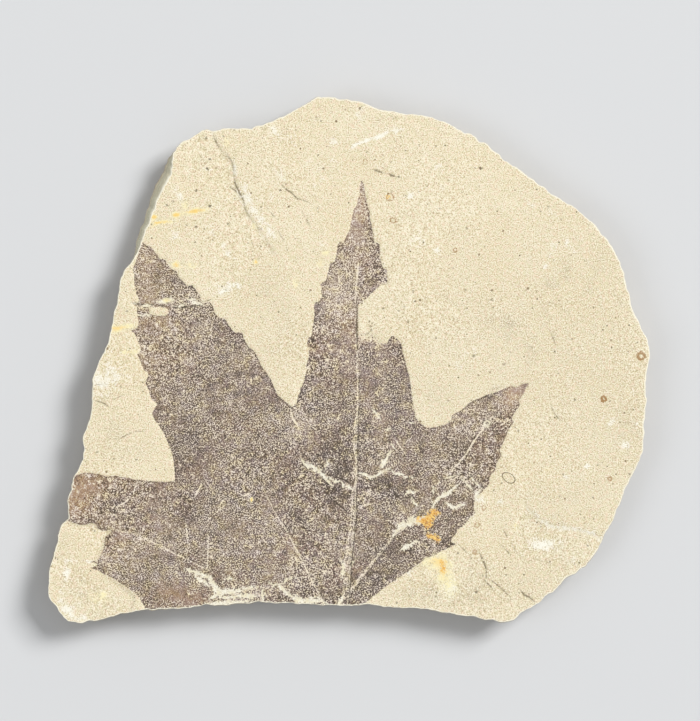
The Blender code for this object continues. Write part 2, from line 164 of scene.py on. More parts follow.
CHIP_LINES_PX = (
    ((301, 457, 0.6), (302, 461, 1.6), (305.5, 465, 3.6), (311, 466.5, 4.6), (316, 469, 3.4),
     (321, 473.5, 3.2), (326, 478.5, 3.2), (331.5, 484.5, 1.4)),
    ((329, 477, 0.8), (334.5, 481.5, 2.2), (340, 480.8, 2.0), (344, 485.5, 3.0), (351, 488, 1.6)),
    ((462, 479, 0.8), (467, 484, 1.8), (472, 489, 1.6), (478, 496, 1.8)),
    ((470, 476, 0.8), (474, 481, 1.4), (480, 487, 1.4)),
    ((446, 478, 0.8), (452, 477, 1.6), (459, 474, 0.8)),
    ((326.5, 461, 0.8), (328, 464, 1.8), (325.5, 467, 1.6), (325, 470, 0.8)),
    ((359, 473, 0.8), (362, 474, 2.2), (368, 476, 2.6), (373, 477.5, 3.0), (377, 475.5, 2.2),
     (382, 472, 2.2), (386, 470, 1.6), (390, 468, 0.8)),
    ((392, 471, 0.8), (395, 474, 2.4), (401, 474, 2.0), (405, 477, 2.2), (410, 477, 1.8),
     (416, 477.5, 0.8)),
    ((390.5, 451, 0.8), (388.5, 455, 3.2), (385.5, 460, 5.0), (383, 465, 4.6), (381, 468, 0.8)),
    ((373, 410, 0.8), (376, 413, 2.2), (379, 417, 1.4)),
    ((384, 429, 0.8), (387, 430, 1.6), (390, 428.5, 2.0), (393, 430.5, 1.6), (395, 433, 0.8)),
    ((390, 443, 0.8), (393, 446, 1.6)),
    ((488, 420.5, 1.4), (484.3, 422, 2.8), (484.8, 426, 2.8), (488.4, 426.6, 2.4),
     (489.8, 423, 1.8), (488, 420.5, 1.4)),
    ((409, 422.5, 0.8), (412, 423.5, 1.6), (415, 423, 0.8)),
    ((405, 495, 0.8), (409, 492, 3.4), (414, 493, 2.6), (417, 492, 0.8)),
    ((411, 497, 0.8), (413, 501, 2.2), (417, 505.5, 1.2)),
    ((433.5, 486, 0.8), (433.5, 489, 2.6), (433, 493, 1.0)),
    ((430, 500, 0.8), (434, 503, 1.8), (438, 499, 3.6), (443, 495.5, 4.2), (449, 492.5, 3.2),
     (454, 488.5, 2.4), (458, 485, 1.0)),
    ((437, 500, 1.0), (434, 504, 3.0), (432, 509, 1.0)),
    ((444, 501.5, 0.8), (448, 503, 1.6), (452, 507, 3.0), (457, 507.5, 2.8), (462, 505, 2.6),
     (466, 504, 0.8)),
    ((481, 489, 1.0), (477.5, 493, 2.6), (475.5, 499, 1.6), (475, 504, 1.0), (476, 509, 0.8)),
    ((392, 537, 0.8), (395, 533, 3.0), (399, 528, 6.5), (404, 524.5, 8.5), (411, 521.8, 7.5),
     (419, 520, 6.0), (425, 518, 3.0)),
    ((401, 549.5, 0.8), (404, 548, 4.0), (408, 545.2, 4.2), (413, 543, 3.6), (418, 541.6, 2.2),
     (422, 541, 0.8)),
    ((186, 570, 1.0), (191, 571.3, 3.8), (197, 573, 4.2), (204, 575.3, 4.4), (209, 577.5, 5.4),
     (212.5, 583.5, 5.2), (216, 589, 6.0), (221, 592.5, 7.6), (228, 592, 6.4), (235, 591, 4.4),
     (240, 591, 1.5)),
    ((196, 577.5, 1.0), (200, 579.5, 3.2), (205, 582.5, 3.2), (208, 586, 1.0)),
    ((209, 599, 1.0), (214, 596.5, 2.8), (218, 594.5, 1.0)),
    ((222, 597.5, 2.0), (230, 597.5, 4.0), (238, 596, 4.4), (246, 596, 5.4), (252, 597, 4.0),
     (256, 596, 1.0)),
    ((242, 588, 1.0), (247, 588.5, 2.8), (253, 587, 2.8), (257, 588, 1.0)),
    ((232, 579, 1.0), (229, 578, 3.0), (226, 579, 2.5), (223, 582, 1.0)),
    ((262, 589, 1.0), (262.3, 594.5, 4.0), (262.5, 599, 2.0)),
    ((271, 583.5, 1.0), (274, 585.5, 3.2), (277.5, 584.5, 3.4), (281, 587.5, 2.8),
     (284.5, 591, 2.8), (288, 594.5, 2.4), (293, 597.5, 3.8), (299, 600, 5.4), (308, 601, 6.4),
     (316, 600, 5.4), (323, 602, 3.5)),
    ((282, 586, 0.8), (285.5, 580.5, 2.2), (289, 578.5, 1.8), (296, 578, 1.4)),
    ((206, 603, 1.5), (214, 604, 3.2), (224, 603, 3.8), (236, 602, 3.0), (248, 601, 1.5)),
    ((156, 301.5, 1.0), (160, 302, 3.0), (165, 301, 4.4), (170, 300.5, 4.6), (173, 300, 1.0)),
    ((131, 303, 0.8), (136, 304, 1.0)),
    ((138, 314.8, 1.2), (142, 316, 2.6), (147, 315, 2.4), (151, 314, 2.0)),
    ((142, 306, 0.8), (146, 305, 2.0), (151, 306, 1.0)),
    ((188, 299, 1.0), (191, 300, 4.0), (195, 302.5, 3.6), (200, 303.5, 1.6)),
    ((174, 306, 0.8), (178, 307, 1.6), (183, 305, 1.2)),
    ((341, 560, 1.0), (342.5, 563, 3.4), (343.5, 567, 2.6), (342.5, 572, 3.4), (342, 577, 1.0)),
    ((351, 566, 0.8), (353.5, 562, 2.4), (356, 560, 0.8)),
    ((338, 605, 2.0), (341, 601, 3.6), (343, 596, 1.4)),
    ((524, 505, 0.8), (532, 514, 1.3), (541, 521.5, 1.8), (552, 526, 1.6), (565, 528, 2.0),
     (581, 531.5, 2.2), (592, 535, 1.6), (600, 541, 2.0)),
)
# Dark lines: cracks in the stone and film, and painted shadow lines along the flaked step at the
# upper left, beside the frayed part of the midrib and beside chips in the film
DARK_LINES_PX = (
    ((357.4, 303, 0.8), (356.8, 309, 1.7), (356.8, 330, 1.9), (357, 347, 0.8)),
    ((213, 135, 0.6), (217, 144, 1.4), (220, 149, 0.8)),
    ((226, 154, 0.6), (231, 160, 1.1), (233.5, 167, 0.8), (234, 178, 0.8), (236, 186, 1.8),
     (240, 194, 1.9), (243, 199, 1.2), (246, 211, 0.9), (250, 218, 0.7), (259, 229, 0.7)),
    ((229, 186, 0.8), (233, 189, 1.6), (237, 192, 1.2)),
    ((282, 185.5, 0.8), (287, 190, 1.4), (292, 193, 1.2), (297, 198.5, 1.4), (303, 200, 0.9),
     (309, 202.5, 0.8)),
    ((301, 210, 0.6), (305, 217, 0.9), (309, 225, 0.8)),
    ((264, 204, 0.6), (270, 212, 1.0), (275, 217, 0.7)),
    ((278, 230, 0.6), (282, 238, 0.9)),
    ((96, 401, 0.8), (102, 402.5, 1.5), (107, 405.5, 1.4), (111, 408, 1.0), (118, 410, 0.6)),
    ((93, 386, 0.6), (98, 384.5, 1.0), (104, 385, 0.6)),
    ((111, 401, 0.5), (119, 397, 0.9), (128, 393, 0.6)),
    ((116, 439, 0.6), (122, 437.5, 1.0), (129, 434, 1.4), (135, 431.5, 1.0), (148, 431, 0.6)),
    ((456, 542, 0.6), (463, 549, 1.0), (470, 556, 0.8), (471, 563, 0.6)),
    ((479, 552, 0.8), (483, 560, 1.4), (486.5, 570, 1.3), (486, 577, 1.0), (495, 583, 1.3),
     (503, 590, 1.3), (510, 597, 1.0)),
    ((482, 577, 0.8), (487, 583, 1.4), (492, 588, 1.0)),
    ((519, 588, 0.8), (524, 595, 1.7), (529, 597, 1.4), (534, 601, 1.0)),
    ((503, 530, 0.7), (506, 535, 1.3)),
    ((500, 544, 0.6), (508, 552, 1.1)),
    ((511, 541, 0.6), (514, 548, 1.0)),
    ((550, 331, 0.6), (553, 338, 1.0), (556, 346, 0.7)),
    ((551, 405, 0.7), (554, 413, 1.1), (558, 418, 1.2)),
    ((375, 170.2, 1.3), (378, 171, 2.2), (381.5, 172.2, 1.5)),
    ((388.5, 174, 1.3), (391, 174.8, 2.4), (393.5, 175.8, 1.4)),
    ((325, 492, 0.8), (334, 501, 1.6), (344, 509, 0.9)),
    ((387, 482, 0.8), (393, 492, 2.2), (404, 502, 1.2)),
    ((320, 476, 0.8), (327, 484, 1.8), (333, 487, 0.8)),
    ((328, 474, 0.8), (336, 477, 1.6), (345, 480, 1.4), (352, 485, 0.8)),
    ((131, 302.2, 0.8), (137, 304.3, 1.7), (146, 304.2, 0.8), (156, 305, 1.2), (165, 306, 1.1)),
    ((172, 307.5, 0.8), (180, 308, 1.5), (190, 306.4, 1.4), (201, 305.2, 0.8)),
    ((206, 301, 1.2), (208, 300.5, 1.6)),
)

# Thin beds flaked off the face, as in the solid: the broken edge, the far side, the depth at the
# edge and the distance over which it runs out
FLAKES = (
    (((207, 118), (218, 146), (233, 165), (237, 189), (245, 211), (264, 237), (276, 256)),
     ((205, 290), (90, 240), (140, 110)), 0.3 * MM, 31 * MM),
    (((40, 519), (67, 520), (79, 525), (95, 524), (99, 528), (111, 531), (105, 538), (104, 547),
      (100, 555), (99, 562), (104, 574), (135, 596)),
     ((120, 650), (10, 650), (10, 560)), 0.7 * MM, 30 * MM),
    (((524, 505), (541, 524), (561, 528), (585, 532), (625, 540)),
     ((640, 640), (480, 640), (500, 560)), 0.25 * MM, 26 * MM),
)
UNDERSIDE_FLAKE_DEPTH = 1.0 * MM
UNDERSIDE_FLAKES_PX = (
    ((690, 250), (560, 262), (538, 300), (548, 352), (530, 398), (553, 452), (690, 470)),
    ((20, 640), (20, 470), (118, 488), (150, 520), (146, 552), (172, 580), (178, 640)),
)

# Soft patches: x, y, half length, half width, turn in degrees and strength
PATCHES_PX = {
    # where the film is thin and the stone shows through
    "worn": (
        (364, 302, 7, 4, -35, 0.6), (378, 338, 12, 6, 30, 0.8), (396, 342, 7, 3, 5, 0.5),
        (350, 330, 8, 8, 0, 0.25), (365, 336, 12, 7, 0, 0.8), (123.5, 512, 3.5, 4.5, 30, 0.6),
        (161, 543, 5, 3, 10, 0.5), (171, 544, 4, 4, 0, 0.6), (145, 514, 3, 3, 0, 0.5),
        (142, 494, 5, 3, 0, 0.35), (385, 284, 4, 3, 0, 0.5), (190, 340, 26, 34, -25, 0.16),
        (175, 355, 26, 26, 0, 0.14), (235, 405, 22, 30, 0, 0.14), (225, 470, 26, 34, 0, 0.14),
        (90, 500, 20, 16, 0, 0.15), (118, 512, 13, 6, -30, 0.35), (85, 518, 14, 5, 0, 0.4),
        (100, 560, 12, 5, 10, 0.35), (110, 570, 20, 4, 30, 0.25), (150, 545, 26, 5, 20, 0.3),
        (176, 548, 12, 8, 0, 0.3), (200, 590, 30, 10, 0, 0.25), (245, 592, 18, 9, 0, 0.5),
        (270, 590, 12, 8, 0, 0.3), (184, 575, 12, 8, 0, 0.3), (452, 480, 16, 6, -30, 0.35),
        (470, 492, 14, 5, 0, 0.35), (440, 507, 12, 6, 0, 0.3), (412, 510, 8, 5, -40, 0.3),
        (425, 545, 16, 6, 0, 0.25), (345, 560, 8, 16, 0, 0.3), (360, 590, 14, 12, 0, 0.18),
        (300, 590, 24, 10, 0, 0.15), (182, 303, 12, 5, 0, 0.5), (148, 307, 10, 5, 0, 0.35),
        (198, 296, 8, 10, -40, 0.35), (208, 301, 5, 3, 0, 0.5), (230, 322, 14, 3, 40, 0.25),
        (378, 250, 5, 12, 0, 0.2), (475, 425, 14, 8, -45, 0.15), (362, 395, 10, 14, 0, 0.18),
        (130, 263, 5, 10, 0, 0.3),
    ),
    # where the film is paler but whole
    "pale": (
        (357, 225, 12, 45, 0, 0.8), (340, 290, 24, 40, 10, 0.7), (146, 275, 14, 30, 0, 0.6),
        (120, 545, 34, 24, 0, 0.4), (150, 510, 22, 26, 0, 0.35), (275, 530, 34, 34, 0, 0.35),
        (320, 565, 24, 24, 0, 0.4), (150, 345, 14, 24, 0, 0.4), (515, 395, 16, 14, 0, 0.8),
        (330, 330, 12, 30, 0, 0.3), (350, 370, 20, 20, 0, 0.25), (480, 430, 20, 14, -40, 0.2),
        (465, 425, 16, 14, -40, 0.25), (300, 425, 18, 16, 0, 0.6), (361, 203, 8, 14, 0, 0.4),
    ),
    # brown, tan and reddish film at the lobes' ends and by the edge
    "tan": (
        (84, 484, 20, 14, 0, 1.0), (78, 508, 14, 14, 0, 0.9), (120, 484, 26, 8, 5, 0.45),
        (172, 595, 26, 12, 0, 1.0), (200, 600, 14, 8, 0, 0.5), (515, 392, 14, 9, -30, 1.0),
        (510, 405, 10, 16, 20, 0.7), (500, 440, 7, 24, 15, 0.5), (486, 470, 12, 14, 30, 0.4),
        (362, 205, 7, 24, 0, 0.55), (366, 262, 16, 12, 0, 0.45), (352, 330, 9, 14, 0, 0.5),
        (146, 258, 14, 12, 0, 0.35), (150, 322, 18, 7, 0, 0.45), (366, 392, 9, 14, 0, 0.5),
        (120, 545, 24, 18, 0, 0.35), (165, 350, 30, 20, 0, 0.2), (235, 580, 30, 10, 0, 0.3),
        (343, 322, 14, 28, 0, 0.5), (366, 338, 8, 6, 20, 0.6), (318, 350, 10, 20, 0, 0.3),
        (358, 222, 13, 36, 0, 0.5), (152, 290, 26, 60, 0, 0.35), (155, 380, 20, 50, 0, 0.3),
        (80, 495, 30, 26, 0, 0.6), (105, 550, 16, 24, 0, 0.3), (160, 480, 30, 30, 0, 0.15),
        (382, 418, 5, 4, 0, 0.6), (430, 490, 14, 10, 0, 0.25),
    ),
    # yellower stone and film
    "warm": (
        (150, 305, 26, 75, 0, 1.0), (115, 415, 34, 55, 0, 0.9), (75, 495, 28, 28, 0, 1.0),
        (130, 562, 44, 26, 0, 0.8), (160, 185, 34, 42, 0, 0.8), (335, 262, 28, 52, 0, 0.7),
        (500, 490, 70, 50, 0, 0.5), (76, 575, 24, 30, 0, 0.3), (215, 165, 40, 40, 0, 0.4),
        (205, 330, 26, 26, 0, 0.3), (112, 345, 20, 30, 0, 0.6),
    ),
    # darker, bluish film
    "shade": (
        (335, 494, 16, 10, 25, 0.7), (386, 488, 16, 10, 35, 0.7), (345, 470, 14, 4, 10, 0.6),
        (378, 480, 14, 5, 0, 0.5), (239, 374, 5, 3.4, 0, 1.0), (300, 470, 8, 14, 0, 0.35),
        (415, 500, 20, 8, 30, 0.4), (456, 497, 16, 4, 10, 0.7), (456, 515, 12, 8, 0, 0.3),
        (462, 452, 10, 10, 0, 0.4), (470, 445, 12, 5, -45, 0.3), (155, 276, 10, 8, 30, 0.35),
        (350, 452, 4, 5, 0, 0.6), (399, 380, 8, 30, 0, 0.25), (297, 530, 8, 16, -20, 0.3),
        (365, 230, 6, 9, 0, 0.3), (260, 482, 10, 12, 0, 0.3), (405, 545, 24, 10, 0, 0.2),
        (160, 557, 12, 5, 0, 0.3), (420, 568, 14, 5, -30, 0.4), (200, 307, 18, 4, 0, 0.3),
        (367, 246, 6, 5, 0, 0.4), (350, 445, 24, 30, 0, 0.35), (190, 445, 26, 28, 0, 0.35),
        (310, 596, 34, 16, 0, 0.5), (230, 590, 30, 10, 0, 0.25), (392, 548, 26, 18, 0, 0.4),
        (195, 512, 28, 16, 0, 0.3), (350, 400, 20, 20, 0, 0.25), (360, 590, 20, 14, 0, 0.65),
        (385, 572, 16, 9, -40, 0.5), (338, 464, 18, 16, 0, 0.5), (165, 452, 22, 26, 0, 0.4),
        (118, 508, 20, 14, 0, 0.4), (200, 580, 24, 12, 0, 0.3), (210, 400, 26, 24, 0, 0.12),
    ),
    # chalky white bruises and crumbs; those along the right of the flaked step at the upper left
    # are also a painted highlight on its lit edge
    "chalk": (
        (360, 114, 7, 6, 30, 0.4), (438, 167, 5, 4, 0, 0.7), (410, 197, 5, 3.5, 0, 0.8),
        (419, 239, 8, 7, -40, 0.5), (437, 251, 6, 4, 0, 0.6), (440, 190, 6, 4, 0, 0.4),
        (587, 466, 3.5, 3.5, 0, 1.0), (625, 445, 5, 4, 0, 0.9), (567, 479, 4, 4, 0, 0.7),
        (540, 545, 16, 6, 0, 0.6), (550, 544, 8, 6, 0, 0.5), (612, 421, 8, 5, 0, 0.6),
        (572, 560, 5, 4, 40, 0.5), (354, 145.5, 7, 2, -30, 0.7), (365, 141, 9, 2, -20, 0.9),
        (376, 138, 8, 2, -15, 0.8), (385, 134, 8, 2, -35, 0.7), (397, 130.5, 8, 3, -15, 0.7),
        (334, 142, 6, 4, 0, 0.5), (332, 160, 6, 3, 0, 0.4), (244, 192, 6, 12, -25, 0.55),
        (253, 208, 6, 13, -38, 0.55), (264, 224, 5, 12, -40, 0.45), (270, 196, 6, 4, 0, 0.4),
        (310, 165, 6, 5, 0, 0.3),
        (567, 243, 5, 3, -20, 0.7), (574, 250, 4, 3, 0, 0.6), (545, 267, 3, 2.5, 0, 0.6),
        (551, 215, 3, 8, 20, 0.4), (612, 313, 4, 3, 0, 0.5), (205, 169, 16, 2, 0, 0.4),
        (235, 167, 2.5, 9, -10, 0.5), (237, 140, 4, 5, 0, 0.3), (272, 235, 4, 8, -30, 0.5),
        (178, 194, 4, 9, -35, 0.6), (176, 235, 5, 7, 0, 0.5), (230, 255, 6, 4, 30, 0.6),
        (222, 245, 4, 4, 0, 0.5), (224, 290, 14, 8, 0, 0.5), (236, 287, 6, 5, 0, 0.5),
        (212, 230, 8, 8, 0, 0.3), (275, 132, 6, 7, 0, 0.5), (293, 138, 8, 8, 0, 0.4),
        (160, 172, 2, 14, 35, 0.7), (149, 222, 2, 18, 25, 0.4), (100, 350, 14, 8, 0, 0.6),
        (112, 375, 18, 12, 0, 0.5), (100, 385, 10, 12, 0, 0.5), (67, 572, 4, 10, 0, 0.8),
        (80, 600, 5, 8, 0, 0.3), (68, 611, 11, 5, 40, 1.0), (480, 500, 6, 5, 0, 0.5),
        (85, 561, 18, 1.6, 3, 0.6), (60, 592, 3, 10, 0, 0.4), (84, 618, 10, 3, -5, 0.5),
        (500, 502, 5, 3, 0, 0.6), (472, 516, 6, 4, -40, 0.5), (540, 518, 14, 2, 45, 0.6),
        (560, 528, 14, 2, 8, 0.7), (585, 531, 14, 2, 10, 0.6), (600, 538, 8, 2, 30, 0.7),
        (630, 390, 10, 3, 50, 0.4), (637, 425, 3, 6, 0, 0.4), (552, 250, 4, 12, 20, 0.4),
        (530, 205, 4, 4, 0, 0.4), (460, 365, 5, 6, 0, 0.4), (470, 352, 7, 6, 0, 0.4),
        (450, 588, 8, 11, 0, 0.85), (395, 578, 5, 3, -40, 0.5), (411, 571, 4, 3, -40, 0.6),
        (282, 175, 10, 4, 40, 0.4), (318, 180, 10, 10, 0, 0.25), (322, 240, 6, 10, 20, 0.3),
    ),
    # pale yellow, ochre and rust stains
    "yellow": (
        (154, 217, 4, 3, 0, 0.9), (176, 215, 5, 2.6, 0, 0.9), (196, 211, 12, 2.6, -8, 0.9),
        (186, 204, 4, 5, 0, 0.45), (164, 222, 11, 1.6, -4, 0.8), (154, 225, 5, 2, -30, 0.5),
        (176, 265, 4, 3.6, 0, 0.8), (256, 262, 2.6, 2.6, 0, 0.9), (190, 265, 7, 4, 0, 0.4),
        (122, 327, 14, 3, -8, 0.5), (112, 330, 12, 4, 0, 0.4), (130, 352, 8, 2.5, 0, 0.5),
        (442, 568, 9, 14, 0, 0.5), (432, 561, 10, 6, -20, 0.42), (450, 586, 10, 13, 0, 0.34),
        (516, 527, 3, 4, 0, 0.5), (325, 253, 5, 3, 0, 0.35), (320, 262, 5, 5, 0, 0.3),
        (227, 142, 3, 5, 0, 0.4), (254, 227, 3, 3, 0, 0.5), (168, 300.5, 5, 2.6, 0, 0.6),
        (547, 470, 6, 3, -30, 0.25), (296, 282, 5, 10, 0, 0.2), (251.5, 500, 1.6, 2.4, 0, 0.9),
        (100, 597, 12, 8, 0, 0.3),
    ),
    "rust": (
        (435, 513, 4, 4, 0, 0.9), (429, 518, 8, 5, -35, 1.0), (422, 521, 6, 3.5, 0, 0.8),
        (428, 525, 4, 3.5, 0, 0.8), (433, 536, 7, 2.4, 10, 0.8), (437, 541, 5, 2.6, 30, 0.9),
        (428, 537, 3, 2.6, 0, 0.6), (443, 567, 3, 5.5, -10, 1.3), (441, 561, 2, 2, 0, 0.6),
        (388.5, 197, 2.4, 2.6, 0, 1.1), (447, 560, 2, 3, 0, 0.4), (176, 215, 3, 2, 0, 0.25),
    ),
    # diffuse grey-brown patches in the stone; the narrow ones left of the flaked step at the upper
    # left are painted shade, and those at the lower left corner are grey stone with painted shade
    "grey": (
        (231, 172, 3, 12, 0, 0.6), (238, 190, 3, 7, -35, 0.6), (247, 212, 2.5, 8, -30, 0.4),
        (590, 380, 80, 150, 0, 0.33), (540, 570, 60, 45, 0, 0.38), (470, 320, 90, 80, 0, 0.22),
        (80, 585, 22, 18, 0, 0.45), (105, 600, 24, 12, 0, 0.35), (62, 548, 5, 12, 20, 0.4),
        (440, 400, 18, 18, 0, 0.35), (450, 596, 50, 14, 0, 0.5), (113, 440, 26, 20, 0, 0.35),
        (250, 290, 40, 40, 0, 0.2), (270, 350, 24, 24, 0, 0.25), (630, 430, 14, 30, 0, 0.3),
        (100, 400, 14, 14, 0, 0.2), (509, 326, 8, 12, 0, 0.6), (566, 270, 6, 10, 20, 0.6),
        (550, 285, 8, 6, 0, 0.5), (592, 290, 8, 5, 10, 0.4), (620, 300, 6, 3, 60, 0.4),
        (530, 350, 10, 14, 0, 0.3), (300, 340, 14, 30, 10, 0.2), (282, 310, 12, 30, -20, 0.25),
        (490, 320, 14, 10, 0, 0.3), (268, 285, 8, 18, 0, 0.25), (540, 520, 26, 8, 10, 0.35),
        (545, 495, 40, 8, 0, 0.25), (600, 260, 10, 20, 20, 0.25), (420, 560, 5, 5, 0, 0.3),
        (144, 450, 10, 10, 0, 0.25), (115, 425, 8, 12, 0, 0.25), (120, 270, 5, 12, 0, 0.3),
        (118, 292, 5, 16, 0, 0.3), (75, 545, 12, 12, 0, 0.15), (95, 615, 12, 5, 0, 0.3),
        (395, 215, 6, 4, 0, 0.2), (458, 300, 14, 8, 20, 0.2), (205, 160, 12, 8, 0, 0.2),
        (494, 389, 3.2, 2.6, 0, 1.0), (499, 386.5, 2.4, 1.6, 0, 0.9), (489, 389, 2, 1.6, 0, 0.7),
        (474, 578, 14, 22, 0, 0.35), (420, 592, 22, 9, 0, 0.4),
    ),
}

# The fields that carry the patches, three kinds in each
PATCH_FIELDS = {
    "film_wear": ("worn", "tan", "shade"),
    "stone_stain": ("chalk", "yellow", "rust"),
    "pale_and_warm": ("pale", "grey", "warm"),
}

# Small marks drawn sharp. Brown rings: x, y, radius, line width and strength
RINGS_PX = (
    (390, 197, 3.6, 1.0, 0.8), (393.5, 220.5, 2.4, 0.9, 0.8), (641, 356, 3.2, 2.4, 0.8),
    (604, 399, 2.2, 2.0, 0.9), (455.5, 250, 1.8, 0.9, 0.9), (365, 162, 2.4, 0.7, 0.6),
    (410, 213.5, 2.2, 0.7, 0.4), (484, 507.5, 2.2, 1.1, 0.6), (477, 525, 2.0, 1.3, 0.6),
    (610, 479, 1.5, 1.6, 0.7), (475, 552, 2.0, 1.6, 0.5), (419, 392, 2.5, 1.0, 0.3),
)
# A dark oval ring: x, y, half length, half width, turn in degrees and strength
OVAL_RING_PX = (508.6, 477.8, 7.0, 4.4, 33, 0.9)
# Dark dots: the places of those of each radius and strength
DOTS_PX = {
    (1.6, 0.35): ((173, 201),),
    (1.4, 0.6): ((593, 498),),
    (1.4, 0.4): ((560, 496),),
    (1.3, 0.8): ((210, 206),),
    (1.3, 0.5): ((548, 207),),
    (1.2, 0.8): ((321, 120.5), (207, 169)),
    (1.2, 0.7): ((234, 129.5), (449.5, 386)),
    (1.2, 0.6): ((228, 224), (167, 205.5)),
    (1.2, 0.5): ((483, 576), (371.5, 330)),
    (1.2, 0.45): ((370.8, 326.5),),
    (1.2, 0.4): ((254, 229), (449, 400.5), (551, 571), (504, 364)),
    (1.2, 0.3): ((431, 590),),
    (1.1, 0.8): ((399, 177),),
    (1.1, 0.7): ((210, 159.5), (367, 152), (494, 491), (458, 553), (476, 592)),
    (1.1, 0.6): ((474, 356), (481, 168.5), (412.9, 291.6), (420, 316.4)),
    (1.1, 0.55): ((369, 321.5),),
    (1.1, 0.5): ((492, 300), (630, 474)),
    (1.1, 0.45): ((377, 331.5),),
    (1.0, 0.8): ((610, 401.5), (579.5, 562.5)),
    (1.0, 0.7): ((196, 190.5), (280, 190), (397, 603), (415.2, 301.6)),
    (1.0, 0.6): ((196, 227), (575, 400), (588, 546), (383.7, 308.3)),
    (1.0, 0.5): ((223.5, 136.5), (206, 138), (287, 250), (518, 431), (440, 209), (467, 228),
        (122, 458), (369, 333)),
    (1.0, 0.4): ((534, 400), (419, 145), (461, 193), (372.3, 323.5)),
    (1.0, 0.3): ((553, 548),),
    (0.9, 0.6): ((320, 117), (213, 240), (136, 460), (398.5, 310.6)),
    (0.9, 0.5): ((187, 225), (391, 162), (127, 311)),
    (0.9, 0.4): ((393, 118), (114, 459), (97, 452), (108, 456), (374.5, 325), (386.3, 332),
        (404.4, 306.6), (407.6, 321.6), (401.4, 343)),
    (0.9, 0.35): ((382, 333),),
    (0.8, 0.5): ((575, 564),),
    (0.8, 0.4): ((316, 117),),
    (0.8, 0.3): ((367, 587),),
}

# The plate's height, and the photograph's scale and middle, come from the solid slab
slab_low, slab_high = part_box("fossil_slab")
FACE = slab_high.z
LEFT_PX = min(x for x, y in SLAB_OUTLINE_PX)
RIGHT_PX = max(x for x, y in SLAB_OUTLINE_PX)
TOP_PX = min(y for x, y in SLAB_OUTLINE_PX)
BOTTOM_PX = max(y for x, y in SLAB_OUTLINE_PX)
PIXEL = (slab_high.x - slab_low.x) / (RIGHT_PX - LEFT_PX)
MIDDLE_PX = ((LEFT_PX + RIGHT_PX) / 2, (TOP_PX + BOTTOM_PX) / 2)

# Spacing of the skin's points on the face, along the edge and on the underside
FACE_CELL = 0.66 * MM
RIM_CELL = 0.9 * MM
UNDERSIDE_CELL = 2.2 * MM
# How far a flat grid stays inside its ring, as a share of its cell
TRIM_GAP = 0.6

# The broken rim: chips between the outline's corners, the crushed edge of the face, and the
# stretch of rim whose direction tells which way is inward, long enough to pass over the chips
CHIP_DEPTH = 0.7 * MM
CHIP_SCALE = 3.2 * MM
CRUMB_DEPTH = 0.3 * MM
CRUMB_SCALE = 1.3 * MM
NORMAL_REACH = 13.6 * MM
BRUISE_WIDTH = 0.32 * MM
BRUISE_HEIGHT = 0.6 * MM
BRUISE_SCALE = 9 * MM

# The beds of the stone from the underside up: height of the top, how far the broken edge stands
# back on average, and how much that varies
BEDS = (
    (1.9 * MM, 4.2 * MM, 2.6 * MM),
    (4.4 * MM, 2.5 * MM, 2.2 * MM),
    (6.1 * MM, 3.0 * MM, 2.6 * MM),
    (8.9 * MM, 1.3 * MM, 1.3 * MM),
    (10.4 * MM, 0.7 * MM, 0.9 * MM),
)
# The slope of the left shoulder: how much of its width it has reached at heights
SLOPE_HEIGHTS = (7.0 * MM, 8.9 * MM, 10.4 * MM, 11.4 * MM, 11.97 * MM)
SLOPE_SHARES = (0.0, 0.12, 0.5, 0.84, 1.0)
# Where the shoulder slopes at least this wide, its broken edge is this much smoother
FULL_SLOPE_WIDTH = 2 * MM
SLOPE_SMOOTHING = 0.92
# The broken edges of the beds wander in long waves and in short scallops
LONG_WAVE = 26 * MM
SHORT_WAVE = 13 * MM
LONG_SHARE = 0.5
LEAST_RECESS = 0.15 * MM
# Half the height of the ledge between two beds, and the room between two rows of points
LEDGE_HALF_HEIGHT = 0.09 * MM
ROW_HEIGHT = 0.62 * MM
# Thin laminae and crags in the edge, and the slow rise and fall of the beds
LAMINA_DEPTH = 0.55 * MM
LAMINA_LENGTH = 16 * MM
LAMINA_HEIGHT = 0.9 * MM
CRAG_DEPTH = 0.22 * MM
CRAG_SCALE = 1.6 * MM
BED_WAVE = 0.22 * MM
BED_WAVE_SCALE = 24 * MM

# Relief of the face, from its slow swell to its grain, the print and the marks in it, all measured
# down from the highest there could be
SWELL_DEPTH = 0.22 * MM
SWELL_SCALE = 34 * MM
RIPPLE_DEPTH = 0.10 * MM
RIPPLE_SCALE = 7 * MM
GRAIN_DEPTH = 0.05 * MM
GRAIN_SCALE = 1.5 * MM
PRINT_DEPTH = 0.20 * MM
VEIN_DEPTH = 0.30 * MM
CRACK_DEPTH = 0.07 * MM
CHIP_PIT_DEPTH = 0.12 * MM
RELIEF_LIMIT = 1.2 * MM
# The most a flake's depth may be, as a share of the depth at the middle of its broken edge
DEEPEST_SHARE = 1.3
UNDERSIDE_SWELL = 0.15 * MM
# How many pixels a step in the relief takes, and how far a groove reaches past its line's edge
FLAKE_EDGE_PX = 2.2
PRINT_EDGE_PX = 1.0
UNDERSIDE_EDGE_PX = 1.6
VEIN_REACH_PX = 1.0
CRACK_REACH_PX = 1.5
CHIP_REACH_PX = 1.2
SMOOTH_ANGLE = 32

# Noise: how much it is drawn out to fill 0 to 1, how far apart two layers of it lie, and the layer
# that each unevenness has. Each bed has a layer of its own for its long and its short waves.
NOISE_GAIN = 0.8
LAYER_ROOM = 3.7
LAYERS = {
    "chips": 9, "crumbs": 10, "bruise": 12, "short waves": 20, "lamina": 31, "crag": 33,
    "swell": 41, "ripple": 42, "grain": 43, "underside": 51, "bed": 52,
}

